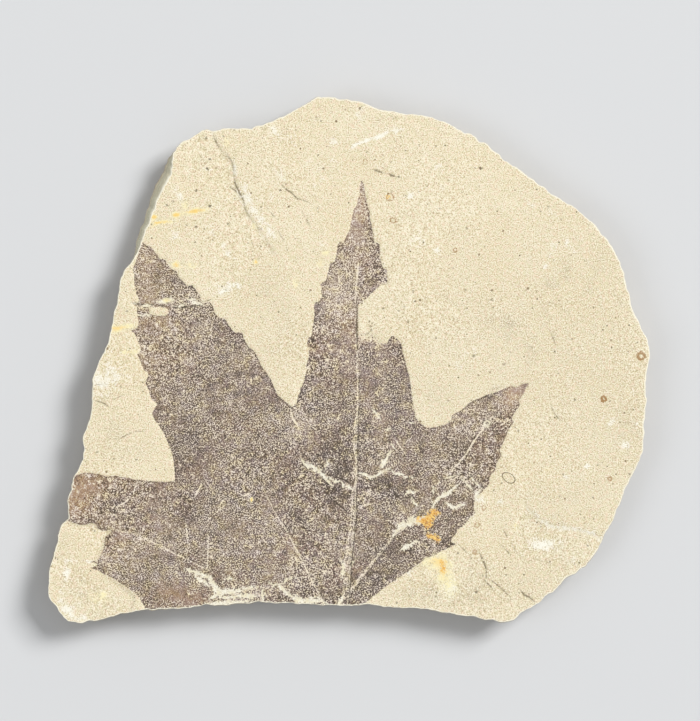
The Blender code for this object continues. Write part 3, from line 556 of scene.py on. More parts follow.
# How far from a line its field is kept whole and where it ends, the least room between two lines
# that share a field, and the step between the points that measure it, all in pixels
FIELD_WHOLE_PX = 2.8
FIELD_END_PX = 4.6
FIELD_ROOM_PX = 8.0
SAMPLE_STEP_PX = 2.0
# The most that a place across a line counts, in half widths, and the most that patches add up to
FAR_ACROSS = 9.0
PATCH_LIMIT = 1.3

# The first row of points down the edge is the rim of the face
FACE_ROW = 1

# The layout of the baked picture: the face at the upper left, the edge unrolled in strips below
# it, and the underside at the right, in shares of the picture's width
SHEET_MARGIN = 0.008
FACE_SHEET_WIDTH = 0.76
STRIP_COUNT = 3
STRIP_HEIGHT = 0.085
STRIP_EVENNESS = 0.35 * MM


def place(x_px, y_px):
    """The place of a photograph pixel on the slab, in metres."""
    return (x_px - MIDDLE_PX[0]) * PIXEL, (MIDDLE_PX[1] - y_px) * PIXEL


def in_photo(points):
    """The photograph pixels over points of the slab: two arrays, x and y."""
    return MIDDLE_PX[0] + points[:, 0] / PIXEL, MIDDLE_PX[1] - points[:, 1] / PIXEL


def wave(points, scale, layer, height_scale=math.inf):
    """Smooth noise from 0 to 1 over points, which varies over scale metres across the plate and
    over height_scale metres down its edge."""
    lift = LAYER_ROOM * layer
    values = [
        noise.noise((row[0] / scale, row[1] / scale, row[-1] / height_scale + lift))
        for row in points.tolist()
    ]
    return np.clip(0.5 + NOISE_GAIN * np.array(values), 0.0, 1.0)


def step(value, low, high):
    """A smooth rise from 0 to 1 as value goes from low to high."""
    share = np.clip((value - low) / (high - low), 0.0, 1.0)
    return share * share * (3 - 2 * share)


def to_segment(px, py, start, end):
    """Distance of pixels from a segment, the side they are on, and their place along it."""
    dx = end[0] - start[0]
    dy = end[1] - start[1]
    along = np.clip(((px - start[0]) * dx + (py - start[1]) * dy) / (dx * dx + dy * dy), 0.0, 1.0)
    off_x = px - start[0] - along * dx
    off_y = py - start[1] - along * dy
    side = np.where(dx * off_y - dy * off_x < 0, 1.0, -1.0)
    return np.hypot(off_x, off_y), side, along


def inside_distance(px, py, outline):
    """Distance of pixels from a closed outline, positive inside it."""
    nearest = np.full(len(px), np.inf)
    inside = np.zeros(len(px), bool)
    for start, end in zip(outline, outline[1:] + outline[:1]):
        distance = to_segment(px, py, start, end)[0]
        nearest = np.minimum(nearest, distance)
        if start[1] != end[1]:
            crosses = (start[1] > py) != (end[1] > py)
            at = start[0] + (py - start[1]) / (end[1] - start[1]) * (end[0] - start[0])
            inside ^= crosses & (px < at)
    return np.where(inside, nearest, -nearest)


def inward_from(rim, reach):
    """Directions into the slab, each square to the stretch of rim that runs from so many points
    before it to as many after it."""
    along = np.roll(rim, -reach, axis=0) - np.roll(rim, reach, axis=0)
    inward = np.stack((along[:, 1], -along[:, 0]), axis=1)
    return inward / np.linalg.norm(inward, axis=1)[:, None]


def broken_rim():
    """The slab's outline with chips between its corners: points, inward directions and slopes."""
    corners = [Vector(place(*corner)) for corner in SLAB_OUTLINE_PX]
    points = []
    for start, end in zip(corners, corners[1:] + corners[:1]):
        steps = math.ceil((end - start).length / RIM_CELL)
        points += [start.lerp(end, number / steps) for number in range(steps)]
    rim = np.array(points)
    rim = (np.roll(rim, 1, axis=0) + 2 * rim + np.roll(rim, -1, axis=0)) / 4
    chips = CHIP_DEPTH * wave(rim, CHIP_SCALE, LAYERS["chips"])
    chips += CRUMB_DEPTH * wave(rim, CRUMB_SCALE, LAYERS["crumbs"])
    rim += inward_from(rim, 1) * (chips - (CHIP_DEPTH + CRUMB_DEPTH) / 2)[:, None]
    rim = np.clip(rim, slab_low[:2], slab_high[:2])
    inward = inward_from(rim, round(NORMAL_REACH / RIM_CELL))
    rim_x, rim_y = in_photo(rim)
    heights_px, widths_px = zip(*SHOULDER_SLOPE_PX)
    widths = np.interp(rim_y, heights_px, widths_px) * PIXEL
    slope = np.where(rim_x < SHOULDER_RIGHT_PX, widths, 0.0)
    return rim, inward, slope


def row_heights():
    """Heights of the rows of points down the edge, from the face to the underside."""
    rows = []
    bottom = 0.0
    for top in [bed[0] for bed in BEDS] + [FACE]:
        low = bottom + (LEDGE_HALF_HEIGHT if bottom else 0.0)
        high = top - (BRUISE_HEIGHT if top == FACE else LEDGE_HALF_HEIGHT)
        steps = max(1, round((high - low) / ROW_HEIGHT))
        rows += [low + (high - low) * number / steps for number in range(steps + 1)]
        bottom = top
    rows += [FACE - BRUISE_HEIGHT / 3, FACE]
    return rows[::-1]


def recess(height, rim, slope):
    """How far the edge stands back from the outline at a height, for every point of the rim."""
    spots = np.column_stack((rim, np.full(len(rim), height)))
    lamina = LAMINA_DEPTH * wave(spots, LAMINA_LENGTH, LAYERS["lamina"], LAMINA_HEIGHT)
    crag = CRAG_DEPTH * wave(spots, CRAG_SCALE, LAYERS["crag"], CRAG_SCALE)
    sloped = slope * np.interp(height, SLOPE_HEIGHTS, SLOPE_SHARES)
    smoothed = 1 - SLOPE_SMOOTHING * np.minimum(slope / FULL_SLOPE_WIDTH, 1.0)
    for layer, (top, mean, spread) in enumerate(BEDS):
        if height < top:
            long_wave = wave(rim, LONG_WAVE, layer)
            short_wave = wave(rim, SHORT_WAVE, layer + LAYERS["short waves"])
            scallops = 3 * np.abs(2 * short_wave - 1) - 1
            ragged = LONG_SHARE * (2 * long_wave - 1) + (1 - LONG_SHARE) * scallops
            stands_back = np.maximum(mean + spread * ragged, LEAST_RECESS)
            return (stands_back + lamina + crag) * smoothed + sloped
    if height > FACE - BRUISE_HEIGHT / 2:
        crushed = (height - FACE + BRUISE_HEIGHT) / BRUISE_HEIGHT
        uneven = wave(rim, BRUISE_SCALE, LAYERS["bruise"])
        return sloped + BRUISE_WIDTH * (1 + 2 * uneven) / 3 * crushed
    below = (FACE - BRUISE_HEIGHT - height) / (FACE - BRUISE_HEIGHT - BEDS[-1][0])
    return sloped + (lamina + crag) * smoothed * np.clip(below, 0.0, 1.0)


def work_on(thing, kind='EDGE'):
    """Enter edit mode on one thing with nothing selected in it; its editable mesh comes back."""
    bpy.ops.object.select_all(action='DESELECT')
    thing.select_set(True)
    bpy.context.view_layer.objects.active = thing
    bpy.ops.object.mode_set(mode='EDIT')
    bpy.ops.mesh.select_mode(type=kind)
    bpy.ops.mesh.select_all(action='DESELECT')
    return bmesh.from_edit_mesh(thing.data)


def points_of(thing):
    """A mesh's points as an array of three columns."""
    points = np.empty(len(thing.data.vertices) * 3)
    thing.data.vertices.foreach_get("co", points)
    return points.reshape(-1, 3)


def move_points(thing, points):
    thing.data.vertices.foreach_set("co", points.ravel())
    thing.data.update()


def number_points(thing, name, numbers):
    """Number the points of a mesh, so that they can be found again when more have been added."""
    layer = thing.data.attributes.new(name, 'INT', 'POINT')
    layer.data.foreach_set("value", numbers)


def numbers_of(thing, name):
    numbers = np.empty(len(thing.data.vertices), int)
    thing.data.attributes[name].data.foreach_get("value", numbers)
    return numbers


def trimmed_grid(name, cell, height, ring):
    """A flat grid of square cells, trimmed to lie just inside a ring of points."""
    across = math.ceil((slab_high.x - slab_low.x) / cell)
    down = math.ceil((slab_high.y - slab_low.y) / cell)
    bpy.ops.mesh.primitive_grid_add(x_subdivisions=across, y_subdivisions=down, size=1)
    grid = bpy.context.object
    grid.name = name
    work_on(grid)
    bpy.ops.mesh.select_all(action='SELECT')
    bpy.ops.transform.resize(value=(across * cell, down * cell, 1))
    bpy.ops.transform.translate(value=(0, 0, height))
    bpy.ops.object.mode_set(mode='OBJECT')

    ring_px = list(zip(*in_photo(ring)))
    outside = inside_distance(*in_photo(points_of(grid)), ring_px) < TRIM_GAP * cell / PIXEL
    bm = work_on(grid, 'VERT')
    bm.verts.ensure_lookup_table()
    stray = [bm.verts[number] for number in np.flatnonzero(outside)]
    while stray:
        for vertex in stray:
            vertex.select_set(True)
        bpy.ops.mesh.delete(type='VERT')
        bm = bmesh.from_edit_mesh(grid.data)
        stray = [
            vertex for vertex in bm.verts
            if not vertex.link_faces or sum(edge.is_boundary for edge in vertex.link_edges) > 2
        ]
    bpy.ops.object.mode_set(mode='OBJECT')
    return grid


def join_and_fill(skin, other):
    """Join another mesh to the skin and fill the gap between their open edges."""
    bpy.ops.object.select_all(action='DESELECT')
    other.select_set(True)
    skin.select_set(True)
    bpy.context.view_layer.objects.active = skin
    bpy.ops.object.join()
    for edge in work_on(skin).edges:
        edge.select_set(len(edge.link_faces) < 2)
    bmesh.update_edit_mesh(skin.data)
    bpy.ops.mesh.fill(use_beauty=True)
    bpy.ops.object.mode_set(mode='OBJECT')


def plate_skin():
    """The plate's bare skin: a fine grid for the face, rows of points down the broken edge and a
    coarser grid underneath, closed all round. Its rim points carry their column and row."""
    rim, inward, slope = broken_rim()
    rows = row_heights()
    top_ring = rim + inward * recess(FACE, rim, slope)[:, None]

    skin = trimmed_grid("fossil_plate", FACE_CELL, FACE, top_ring)
    bpy.ops.mesh.primitive_circle_add(vertices=len(rim), fill_type='NOTHING')
    circle = bpy.context.object
    move_points(circle, np.column_stack((top_ring, np.full(len(rim), FACE))))
    number_points(circle, "column", np.arange(len(rim)) + 1)
    join_and_fill(skin, circle)

    for edge in work_on(skin).edges:
        edge.select_set(edge.is_boundary)
    bmesh.update_edit_mesh(skin.data)
    for higher, lower in zip(rows, rows[1:]):
        bpy.ops.mesh.extrude_edges_move(TRANSFORM_OT_translate={"value": (0, 0, lower - higher)})
    bpy.ops.object.mode_set(mode='OBJECT')

    points = points_of(skin)
    column = numbers_of(skin, "column")
    row = np.abs(points[:, 2, None] - np.array(rows)[None, :]).argmin(axis=1) + 1
    number_points(skin, "row", np.where(column > 0, row, 0))
    for number, height in enumerate(rows):
        here = (column > 0) & (row == number + 1)
        ring = rim + inward * recess(height, rim, slope)[:, None]
        points[here, :2] = ring[column[here] - 1]
        if number == len(rows) - 1:
            bottom_ring = ring
    move_points(skin, points)

    join_and_fill(skin, trimmed_grid("underside", UNDERSIDE_CELL, 0.0, bottom_ring))
    work_on(skin)
    bpy.ops.mesh.select_all(action='SELECT')
    bpy.ops.mesh.normals_make_consistent(inside=False)
    bpy.ops.object.mode_set(mode='OBJECT')
    return skin, rows, slope


def points_along(line):
    """Points every couple of pixels along a line, for measuring the room between lines."""
    points = []
    for start, end in zip(line, line[1:]):
        steps = math.ceil(math.dist(start[:2], end[:2]) / SAMPLE_STEP_PX)
        for number in range(steps + 1):
            share = number / steps
            points.append([a + (b - a) * share for a, b in zip(start[:2], end[:2])])
    return np.array(points)


def sorted_into_fields(lines):
    """Groups of lines in which no two come close, so that each group can share one field."""
    fields = []
    for line in lines:
        spots = points_along(line)
        widest = max(point[2] for point in line)
        for field in fields:
            gaps = [
                np.hypot(*(spots[:, None] - other[None]).transpose(2, 0, 1)).min() - widest - wide
                for other, wide, _ in field
            ]
            if min(gaps) > FIELD_ROOM_PX:
                field.append((spots, widest / 2, line))
                break
        else:
            fields.append([(spots, widest / 2, line)])
    return [[line for _, _, line in field] for field in fields]


def line_field(px, py, lines):
    """Three numbers for each pixel: how far it is across the nearest line, as a signed share of
    the line's half width; 1 near the line and 0 away from it; and the line's half width."""
    across = np.full(len(px), FAR_ACROSS)
    near = np.zeros(len(px))
    half_width = np.zeros(len(px))
    clearance = np.full(len(px), np.inf)
    for line in lines:
        for start, end in zip(line, line[1:]):
            distance, side, along = to_segment(px, py, start, end)
            half = (start[2] + (end[2] - start[2]) * along) / 2
            closer = distance - half < clearance
            clearance = np.where(closer, distance - half, clearance)
            here = np.clip(side * distance / half, -FAR_ACROSS, FAR_ACROSS)
            across = np.where(closer, here, across)
            half_width = np.where(closer, half, half_width)
            near = np.where(closer, 1 - step(distance - half, FIELD_WHOLE_PX, FIELD_END_PX), near)
    return np.column_stack((across, near, half_width))


def groove(field, depth, reach_px):
    """The relief of a field's lines: deepest in the middle, gone a little past their edges."""
    across, near, half_width = field.T
    return depth * near * (1 - step(np.abs(across) * half_width, 0.0, half_width + reach_px))


def patch_strength(px, py, patches):
    """Soft patches, each strongest in its middle, added up."""
    total = np.zeros(len(px))
    for x, y, half_length, half_width, turn, strength in patches:
        turned = math.radians(turn)
        along = (px - x) * math.cos(turned) + (py - y) * math.sin(turned)
        across = (py - y) * math.cos(turned) - (px - x) * math.sin(turned)
        total += strength * np.exp(-(along / half_length) ** 2 - (across / half_width) ** 2)
    return np.minimum(total, PATCH_LIMIT)


def keep(thing, name, values):
    """Lay one number or three on each point of a mesh, under a name its material can read."""
    kind, word = ('FLOAT', "value") if values.ndim == 1 else ('FLOAT_VECTOR', "vector")
    layer = thing.data.attributes.new(name, kind, 'POINT')
    layer.data.foreach_set(word, np.ascontiguousarray(values, np.float32).ravel())


LINE_FAMILIES = {
    "vein": sorted_into_fields(VEIN_LINES_PX),
    "hair": sorted_into_fields(HAIR_LINES_PX),
    "chip": sorted_into_fields(CHIP_LINES_PX),
    "crack": sorted_into_fields(DARK_LINES_PX),
}


def flake_depth(points, px, py):
    """How much a thin bed flaked off the face lowers it: most at the broken edge, then less."""
    total = np.zeros(len(points))
    for edge_px, far_side_px, depth, run_out in FLAKES:
        edge = np.array([place(*corner) for corner in edge_px])
        beyond = np.array(place(*far_side_px[1]))
        along = edge[-1] - edge[0]
        across = np.array((along[1], -along[0])) / np.linalg.norm(along)
        middle = edge.mean(axis=0)
        if across @ (beyond - middle) < 0:
            across = -across
        distance = (points[:, :2] - middle) @ across
        depths = depth * np.clip(1 - distance / run_out, 0.0, DEEPEST_SHARE)
        inside = inside_distance(px, py, list(edge_px) + list(far_side_px))
        total += depths * step(inside, -FLAKE_EDGE_PX, FLAKE_EDGE_PX)
    return total


def face_relief(points, px, py, film, fields):
    """How far each point of the face lies below the highest there could be."""
    relief = SWELL_DEPTH * wave(points, SWELL_SCALE, LAYERS["swell"])
    relief += RIPPLE_DEPTH * wave(points, RIPPLE_SCALE, LAYERS["ripple"])
    relief += GRAIN_DEPTH * wave(points, GRAIN_SCALE, LAYERS["grain"])
    relief += PRINT_DEPTH * step(film, -PRINT_EDGE_PX, PRINT_EDGE_PX)
    relief += flake_depth(points, px, py)
    for family, depth, reach_px in (
        ("vein", VEIN_DEPTH, VEIN_REACH_PX),
        ("crack", CRACK_DEPTH, CRACK_REACH_PX),
        ("chip", CHIP_PIT_DEPTH, CHIP_REACH_PX),
    ):
        relief += np.max([groove(field, depth, reach_px) for field in fields[family]], axis=0)
    return np.minimum(relief, RELIEF_LIMIT)


def shape_and_mark(skin, rows, slope):
    """Press the relief into the skin and lay on its points the fields that its material reads."""
    points = points_of(skin)
    column = numbers_of(skin, "column")
    row = numbers_of(skin, "row")
    px, py = in_photo(points)
    on_face = ((row == 0) & (points[:, 2] > FACE / 2)) | (row == FACE_ROW)
    underneath = (row == 0) & ~on_face

    film = inside_distance(px, py, list(LEAF_OUTLINE_PX))
    film = np.minimum(film, -inside_distance(px, py, list(FILM_GAP_PX)))
    ring = points[row == FACE_ROW][np.argsort(column[row == FACE_ROW])]
    rim = inside_distance(px, py, list(zip(*in_photo(ring)))) * PIXEL / MM
    fields = {
        name: [line_field(px, py, lines) for lines in groups]
        for name, groups in LINE_FAMILIES.items()
    }
    soft = {name: patch_strength(px, py, patches) for name, patches in PATCHES_PX.items()}

    relief = face_relief(points, px, py, film, fields)
    height = points[:, 2].copy()
    top_bed = BEDS[-1][0]
    points[:, 2] -= relief * np.clip((height - top_bed) / (FACE - top_bed), 0.0, 1.0)
    hollow = UNDERSIDE_SWELL * wave(points, SWELL_SCALE, LAYERS["underside"])
    for outline in UNDERSIDE_FLAKES_PX:
        inside = inside_distance(px, py, list(outline))
        hollow += UNDERSIDE_FLAKE_DEPTH * step(inside, -UNDERSIDE_EDGE_PX, UNDERSIDE_EDGE_PX)
    points[:, 2] += hollow * np.clip(1 - height / BEDS[0][0], 0.0, 1.0)
    bed_wave = BED_WAVE * (2 * wave(points, BED_WAVE_SCALE, LAYERS["bed"]) - 1)
    points[:, 2] += bed_wave * np.sin(math.pi * np.clip(height / FACE, 0.0, 1.0))
    points[:, 2] = np.clip(points[:, 2], slab_low.z, FACE)
    move_points(skin, points)

    shoulder = np.where(row > 0, slope[np.maximum(column, 1) - 1] / max(slope), 0.0)
    keep(skin, "film", film)
    keep(skin, "place_on_plate", np.column_stack((on_face, rim, shoulder)))
    for name, kinds in PATCH_FIELDS.items():
        keep(skin, name, np.column_stack([soft[kind] for kind in kinds]))
    for name, layers in fields.items():
        for number, field in enumerate(layers):
            keep(skin, f"{name}_{number}", field)
    return on_face, underneath


def edge_layout(columns, rows_down, starts, corners, rows, top):
    """Places in the picture for the corners of the edge's faces, unrolled in strips one under the
    other from top down."""
    last = columns.max()
    wraps = np.repeat(np.maximum.reduceat(columns, starts) == last, corners)
    columns = np.where(wraps & (columns == 1), last + 1, columns) - 1
    first = np.repeat(np.minimum.reduceat(columns, starts), corners)
    strip_length = math.ceil(last / STRIP_COUNT)
    strip = first // strip_length
    share = (columns - strip * strip_length) / strip_length
    steps = np.array([abs(higher - lower) for higher, lower in zip(rows, rows[1:])])
    down = np.concatenate(([0.0], np.cumsum(steps + STRIP_EVENNESS)))
    down /= down[-1]
    strip_top = top - strip * (STRIP_HEIGHT + SHEET_MARGIN)
    return (
        1 - SHEET_MARGIN - share * (1 - 2 * SHEET_MARGIN),
        strip_top - down[np.maximum(rows_down, 1) - 1] * STRIP_HEIGHT,
    )


def lay_out(skin, rows, on_face, underneath):
    """Unwrap the skin: the face flat, the edge unrolled in strips and the underside flat."""
    mesh = skin.data
    row = numbers_of(skin, "row")
    corner_point = np.empty(len(mesh.loops), int)
    mesh.loops.foreach_get("vertex_index", corner_point)
    corners = np.empty(len(mesh.polygons), int)
    mesh.polygons.foreach_get("loop_total", corners)
    starts = np.concatenate(([0], np.cumsum(corners)[:-1]))

    def all_of(flag):
        return np.repeat(np.minimum.reduceat(flag[corner_point].astype(int), starts) > 0, corners)

    face_corner = all_of(on_face)
    under_corner = all_of(underneath | (row == len(rows)))
    edge_corner = ~face_corner & ~under_corner

    spot_x, spot_y, _ = points_of(skin)[corner_point].T
    width = slab_high.x - slab_low.x
    depth = slab_high.y - slab_low.y
    face_scale = FACE_SHEET_WIDTH / width
    right = 2 * SHEET_MARGIN + FACE_SHEET_WIDTH
    under_scale = (1 - SHEET_MARGIN - right) / depth
    columns = numbers_of(skin, "column")[corner_point]
    edge_top = 1 - 2 * SHEET_MARGIN - depth * face_scale

    layout = np.zeros((2, len(corner_point)))
    for here, across, up in (
        (face_corner, SHEET_MARGIN + (spot_x - slab_low.x) * face_scale,
         1 - SHEET_MARGIN - (slab_high.y - spot_y) * face_scale),
        (under_corner, right + (spot_y - slab_low.y) * under_scale,
         1 - SHEET_MARGIN - (slab_high.x - spot_x) * under_scale),
        (edge_corner, *edge_layout(columns, row[corner_point], starts, corners, rows, edge_top)),
    ):
        layout[:, here] = across[here], up[here]

    sheet = mesh.uv_layers.new(name="OFBake")
    sheet.data.foreach_set("uv", layout.T.ravel())


class Tone:
    """One output of a shader node. Arithmetic on it adds the Math nodes that work it out."""

    def __init__(self, mix, socket):
        self.mix = mix
        self.socket = socket

    def maths(self, operation, *values):
        return self.mix.node("ShaderNodeMath", {"operation": operation}, *values)

    def __add__(self, other):
        return self.maths('ADD', self, other)

    def __radd__(self, other):
        return self.maths('ADD', other, self)

    def __sub__(self, other):
        return self.maths('SUBTRACT', self, other)

    def __rsub__(self, other):
        return self.maths('SUBTRACT', other, self)

    def __mul__(self, other):
        return self.maths('MULTIPLY', self, other)

    def __rmul__(self, other):
        return self.maths('MULTIPLY', other, self)

    def __truediv__(self, other):
        return self.maths('DIVIDE', self, other)

    def __pow__(self, other):
        return self.maths('POWER', self, other)

    def __abs__(self):
        return self.maths('ABSOLUTE', self)

    def most(self, other):
        return self.maths('MAXIMUM', self, other)

    def least(self, other):
        return self.maths('MINIMUM', self, other)


class Mix:
    """A material being mixed: a node tree and the few ways in which it is added to."""

    def __init__(self, name):
        self.material = bpy.data.materials.new(name)
        self.material.use_nodes = True
        self.tree = self.material.node_tree
        self.shader = self.tree.nodes["Principled BSDF"]

    def feed(self, socket, value):
        """Link a tone to a socket, or set the socket to a number, a vector or a colour."""
        if isinstance(value, Tone):
            self.tree.links.new(value.socket, socket)
        elif socket.type == 'RGBA':
            socket.default_value = (*value, 1.0)
        else:
            socket.default_value = value

    def node(self, kind, settings=None, *values, output=0, **named):
        """Add a node: first its settings, then what feeds its inputs, in order or by name."""
        node = self.tree.nodes.new(kind)
        for name, value in (settings or {}).items():
            setattr(node, name, value)
        for socket, value in zip([s for s in node.inputs if s.enabled], values):
            self.feed(socket, value)
        for name, value in named.items():
            self.feed(node.inputs[name.replace("_", " ")], value)
        return Tone(self, [s for s in node.outputs if s.enabled][output])

    def parts(self, vector):
        """The three numbers of a vector."""
        node = self.tree.nodes.new("ShaderNodeSeparateXYZ")
        self.feed(node.inputs[0], vector)
        return [Tone(self, output) for output in node.outputs]

    def field(self, name):
        """A number that the piece carries on its points."""
        return self.node("ShaderNodeAttribute", {"attribute_name": name}, output=2)

    def fields(self, name):
        """Three numbers that the piece carries on its points."""
        return self.parts(self.node("ShaderNodeAttribute", {"attribute_name": name}, output=1))

    def rise(self, value, low, high):
        """A smooth rise from 0 to 1 as a tone goes from low to high, or a fall if high is lower."""
        if high < low:
            return 1 - self.rise(value, high, low)
        settings = {"interpolation_type": 'SMOOTHSTEP'}
        return self.node("ShaderNodeMapRange", settings, value, low, high, 0.0, 1.0)

    def blend(self, share, under, over, how='MIX'):
        """One colour over another, by a share."""
        settings = {"data_type": 'RGBA', "blend_type": how, "clamp_factor": True}
        return self.node("ShaderNodeMix", settings, share, under, over)

    def stretched(self, spot, scale):
        """Places multiplied along each axis, to draw a pattern out."""
        return self.node("ShaderNodeVectorMath", {"operation": 'MULTIPLY'}, spot, scale)

    def grain(self, spot, size, detail=2.0, roughness=0.5):
        """Smooth noise around a half, whose grains are about as big as size, in metres."""
        return self.node(
            "ShaderNodeTexNoise", None,
            Vector=spot, Scale=1 / size, Detail=detail, Roughness=roughness,
        )


# How much brighter the studio shows a colour than it is
STUDIO_LIGHT = 1.12


def daylight(red, green, blue):
    """A colour as the eye reads it on the lit plate, 0 to 255, as the share of light reflected. The
    numbers are those of the sRGB curve."""
    shares = [channel / 255 for channel in (red, green, blue)]
    light = [s / 12.92 if s < 0.04045 else ((s + 0.055) / 1.055) ** 2.4 for s in shares]
    return tuple(channel / STUDIO_LIGHT for channel in light)


CREAM = daylight(234, 219, 182)
CREAM_PALE = daylight(241, 230, 199)
CREAM_DEEP = daylight(220, 202, 164)
STONE_ROSY = daylight(238, 214, 185)
STONE_GREEN = daylight(226, 218, 180)
STONE_WARM = daylight(232, 213, 168)
STONE_GRIT = daylight(182, 164, 131)
GRIT_PALE = daylight(249, 241, 218)
STONE_SPECK = daylight(132, 110, 82)
STONE_DARK_SPECK = daylight(120, 110, 84)
CHALK = daylight(250, 245, 225)
BRUISE_WHITE = daylight(251, 248, 234)
FRESH_CHIP = daylight(240, 231, 200)
PALE_YELLOW = daylight(248, 238, 190)
OCHRE = daylight(247, 212, 130)
RUST = daylight(226, 164, 78)
STONE_GREY = daylight(192, 182, 154)
CRACK_AND_SHADOW_BROWN = daylight(116, 102, 76)
IRON_BROWN = daylight(160, 118, 70)
DOT_BROWN = daylight(92, 80, 58)
FILM_MAUVE = daylight(147, 127, 119)
FILM_BROWN = daylight(150, 129, 110)
FILM_OLIVE = daylight(159, 138, 107)
FILM_BLACK = daylight(66, 57, 46)
FILM_SLATE = daylight(118, 111, 103)
FILM_RUDDY = daylight(160, 130, 113)
FILM_TAN = daylight(178, 146, 118)
FILM_GROUND = daylight(205, 188, 170)
FILM_CRUMB = daylight(239, 226, 203)
# Shares of red, green and blue that yellower and bluer flecks of the film keep
YELLOWING = (1.0, 0.99, 0.85)
BLUEING = (0.98, 0.99, 1.09)
VEIN_PALE = daylight(202, 192, 160)
EDGE_PALE = daylight(232, 218, 190)
EDGE_GREY = daylight(203, 190, 164)
EDGE_BROWN = daylight(166, 144, 112)
SHOULDER_GREY = daylight(220, 217, 191)

# Specks in the stone: the room each has, its most radius, the share of the room that has one and
# its colour
STONE_SPECKS = (
    (4.4 * MM, 0.44 * MM, 0.7, STONE_SPECK),
    (1.6 * MM, 0.32 * MM, 0.45, STONE_DARK_SPECK),
)

# The size of the grains in each pattern: first the stone, then the film, then what breaks up the
# edges of marks, then the beds in the broken edge, which are drawn out along the plate
CLOUD_GRAIN = 18 * MM
MOTTLE_GRAIN = 2.4 * MM
STONE_TINT_GRAIN = 1.2 * MM
GRIT_GRAIN = 0.42 * MM
WORM_GRAIN = 0.50 * MM
FLECK_GRAIN = 0.35 * MM
CLUSTER_GRAIN = 3.4 * MM
DRIFT_GRAIN = 14 * MM
THREAD_GRAIN = 2.6 * MM
THREAD_ROOM_GRAIN = 3.1 * MM
CONTRAST_GRAIN = 9 * MM
HUE_GRAIN = 7 * MM
FILM_TINT_GRAIN = 3 * MM
RAGGED_FINE_GRAIN = 0.6 * MM
RAGGED_BROAD_GRAIN = 2.2 * MM
SHRED_GRAIN = 0.7 * MM
SHADOW_GRAIN = 1.6 * MM
CRACK_GAP_GRAIN = 1.5 * MM
FINE_BAND_GRAIN = 0.34 * MM
BROAD_BAND_GRAIN = 1.4 * MM
BAND_STRETCH = (0.06, 0.06, 1.0)

# Where small marks fade out and where they are whole: a ring in shares of its line's width, a dot
# in shares of its radius and the oval in shares of its size
RING_EDGE = (0.9, 0.25)
DOT_EDGE = (1.3, 0.4)
OVAL_EDGE = (0.12, 0.02)

# How far outside a chip its painted shadow runs, in pixels
OUTLINE_GAP_PX = 1.0
# The heights in millimetres over which the shoulder's grey and the crushed rim come in
SHOULDER_GREY_MM = (7.5, 10.5)
CRUSHED_RIM_MM = (11.2, 11.7)
# The height of the finest relief, and the sheen of the stone and of the film
BUMP_HEIGHT = 0.22 * MM
BUMP_STRENGTH = 0.8
STONE_ROUGHNESS = 0.93
FILM_SMOOTHER = 0.16
SHEEN = 0.3


def line_strength(mix, family, wander, softness=0.4):
    """How strongly a family of lines shows and how strongly the outlines just beside them do; round
    the chips that outline is painted shadow. The edges wander by a tone in pixels, which breaks
    thin lines up."""
    strength = 0.0
    outline = 0.0
    for number in range(len(LINE_FAMILIES[family])):
        across, near, half_width = mix.fields(f"{family}_{number}")
        past_edge = (abs(across) - 1) * half_width + wander * (0.5 + half_width * 0.42)
        here = mix.rise(past_edge, softness, -softness) * mix.rise(half_width, 0.1, 0.7)
        strength = (here * near).most(strength)
        outline = (mix.rise(abs(past_edge - OUTLINE_GAP_PX), 0.9, 0.2) * near).most(outline)
    return strength, outline


def stone_ground(mix, spot, marks):
    """Pale marl: cloudy cream with fine grit, brown specks and chalky bruises, and painted shade
    and a painted highlight beside the flaked steps.
    """
    cloud = mix.grain(spot, CLOUD_GRAIN, 3.0, 0.6)
    mottle = mix.grain(spot, MOTTLE_GRAIN, 3.0, 0.65)
    tint = mix.grain(spot, STONE_TINT_GRAIN, 1.0, 0.6)
    grit = mix.grain(spot, GRIT_GRAIN, 1.0, 0.5)
    base = mix.blend(mix.rise(cloud * 0.6 + mottle * 0.4, 0.38, 0.62), CREAM, CREAM_PALE)
    base = mix.blend(mix.rise(mottle, 0.52, 0.30) * 0.5, base, CREAM_DEEP)
    base = mix.blend(mix.rise(mottle, 0.55, 0.70) * 0.55, base, GRIT_PALE)
    base = mix.blend(marks["warm"] * 0.3, base, STONE_WARM)
    # grey patches, some of them painted shade beside the flaked steps
    base = mix.blend(marks["grey"] * 1.15 * mix.rise(mottle, 0.3, 0.6), base, STONE_GREY)
    base = mix.blend(mix.rise(tint, 0.50, 0.68) * 0.85, base, STONE_ROSY)
    base = mix.blend(mix.rise(tint, 0.50, 0.32) * 0.85, base, STONE_GREEN)
    base = mix.blend(mix.rise(grit, 0.49, 0.27), base, STONE_GRIT)
    base = mix.blend(mix.rise(grit, 0.51, 0.645), base, GRIT_PALE)
    for cell, most, share, colour in STONE_SPECKS:
        gap = mix.node("ShaderNodeTexVoronoi", None, Vector=spot, Scale=1 / cell)
        draw = mix.node("ShaderNodeTexVoronoi", None, Vector=spot, Scale=1 / cell, output=1)
        chance, size, _ = mix.parts(draw)
        speck = mix.rise(gap - size * (most / cell), 0.05, 0.0) * mix.rise(chance, 1 - share, 1.0)
        base = mix.blend(speck * 0.9, base, colour)
    # chalky bruises, with a painted highlight along the lit edge of the flaked step
    chalky = mix.rise(marks["chalk"] + (mottle - 0.5) * 2.0 + (grit - 0.5) * 1.2, 0.15, 0.95)
    base = mix.blend(chalky * mix.rise(marks["chalk"], 0.0, 0.2) * 0.9, base, BRUISE_WHITE)
    return base, grit, mottle


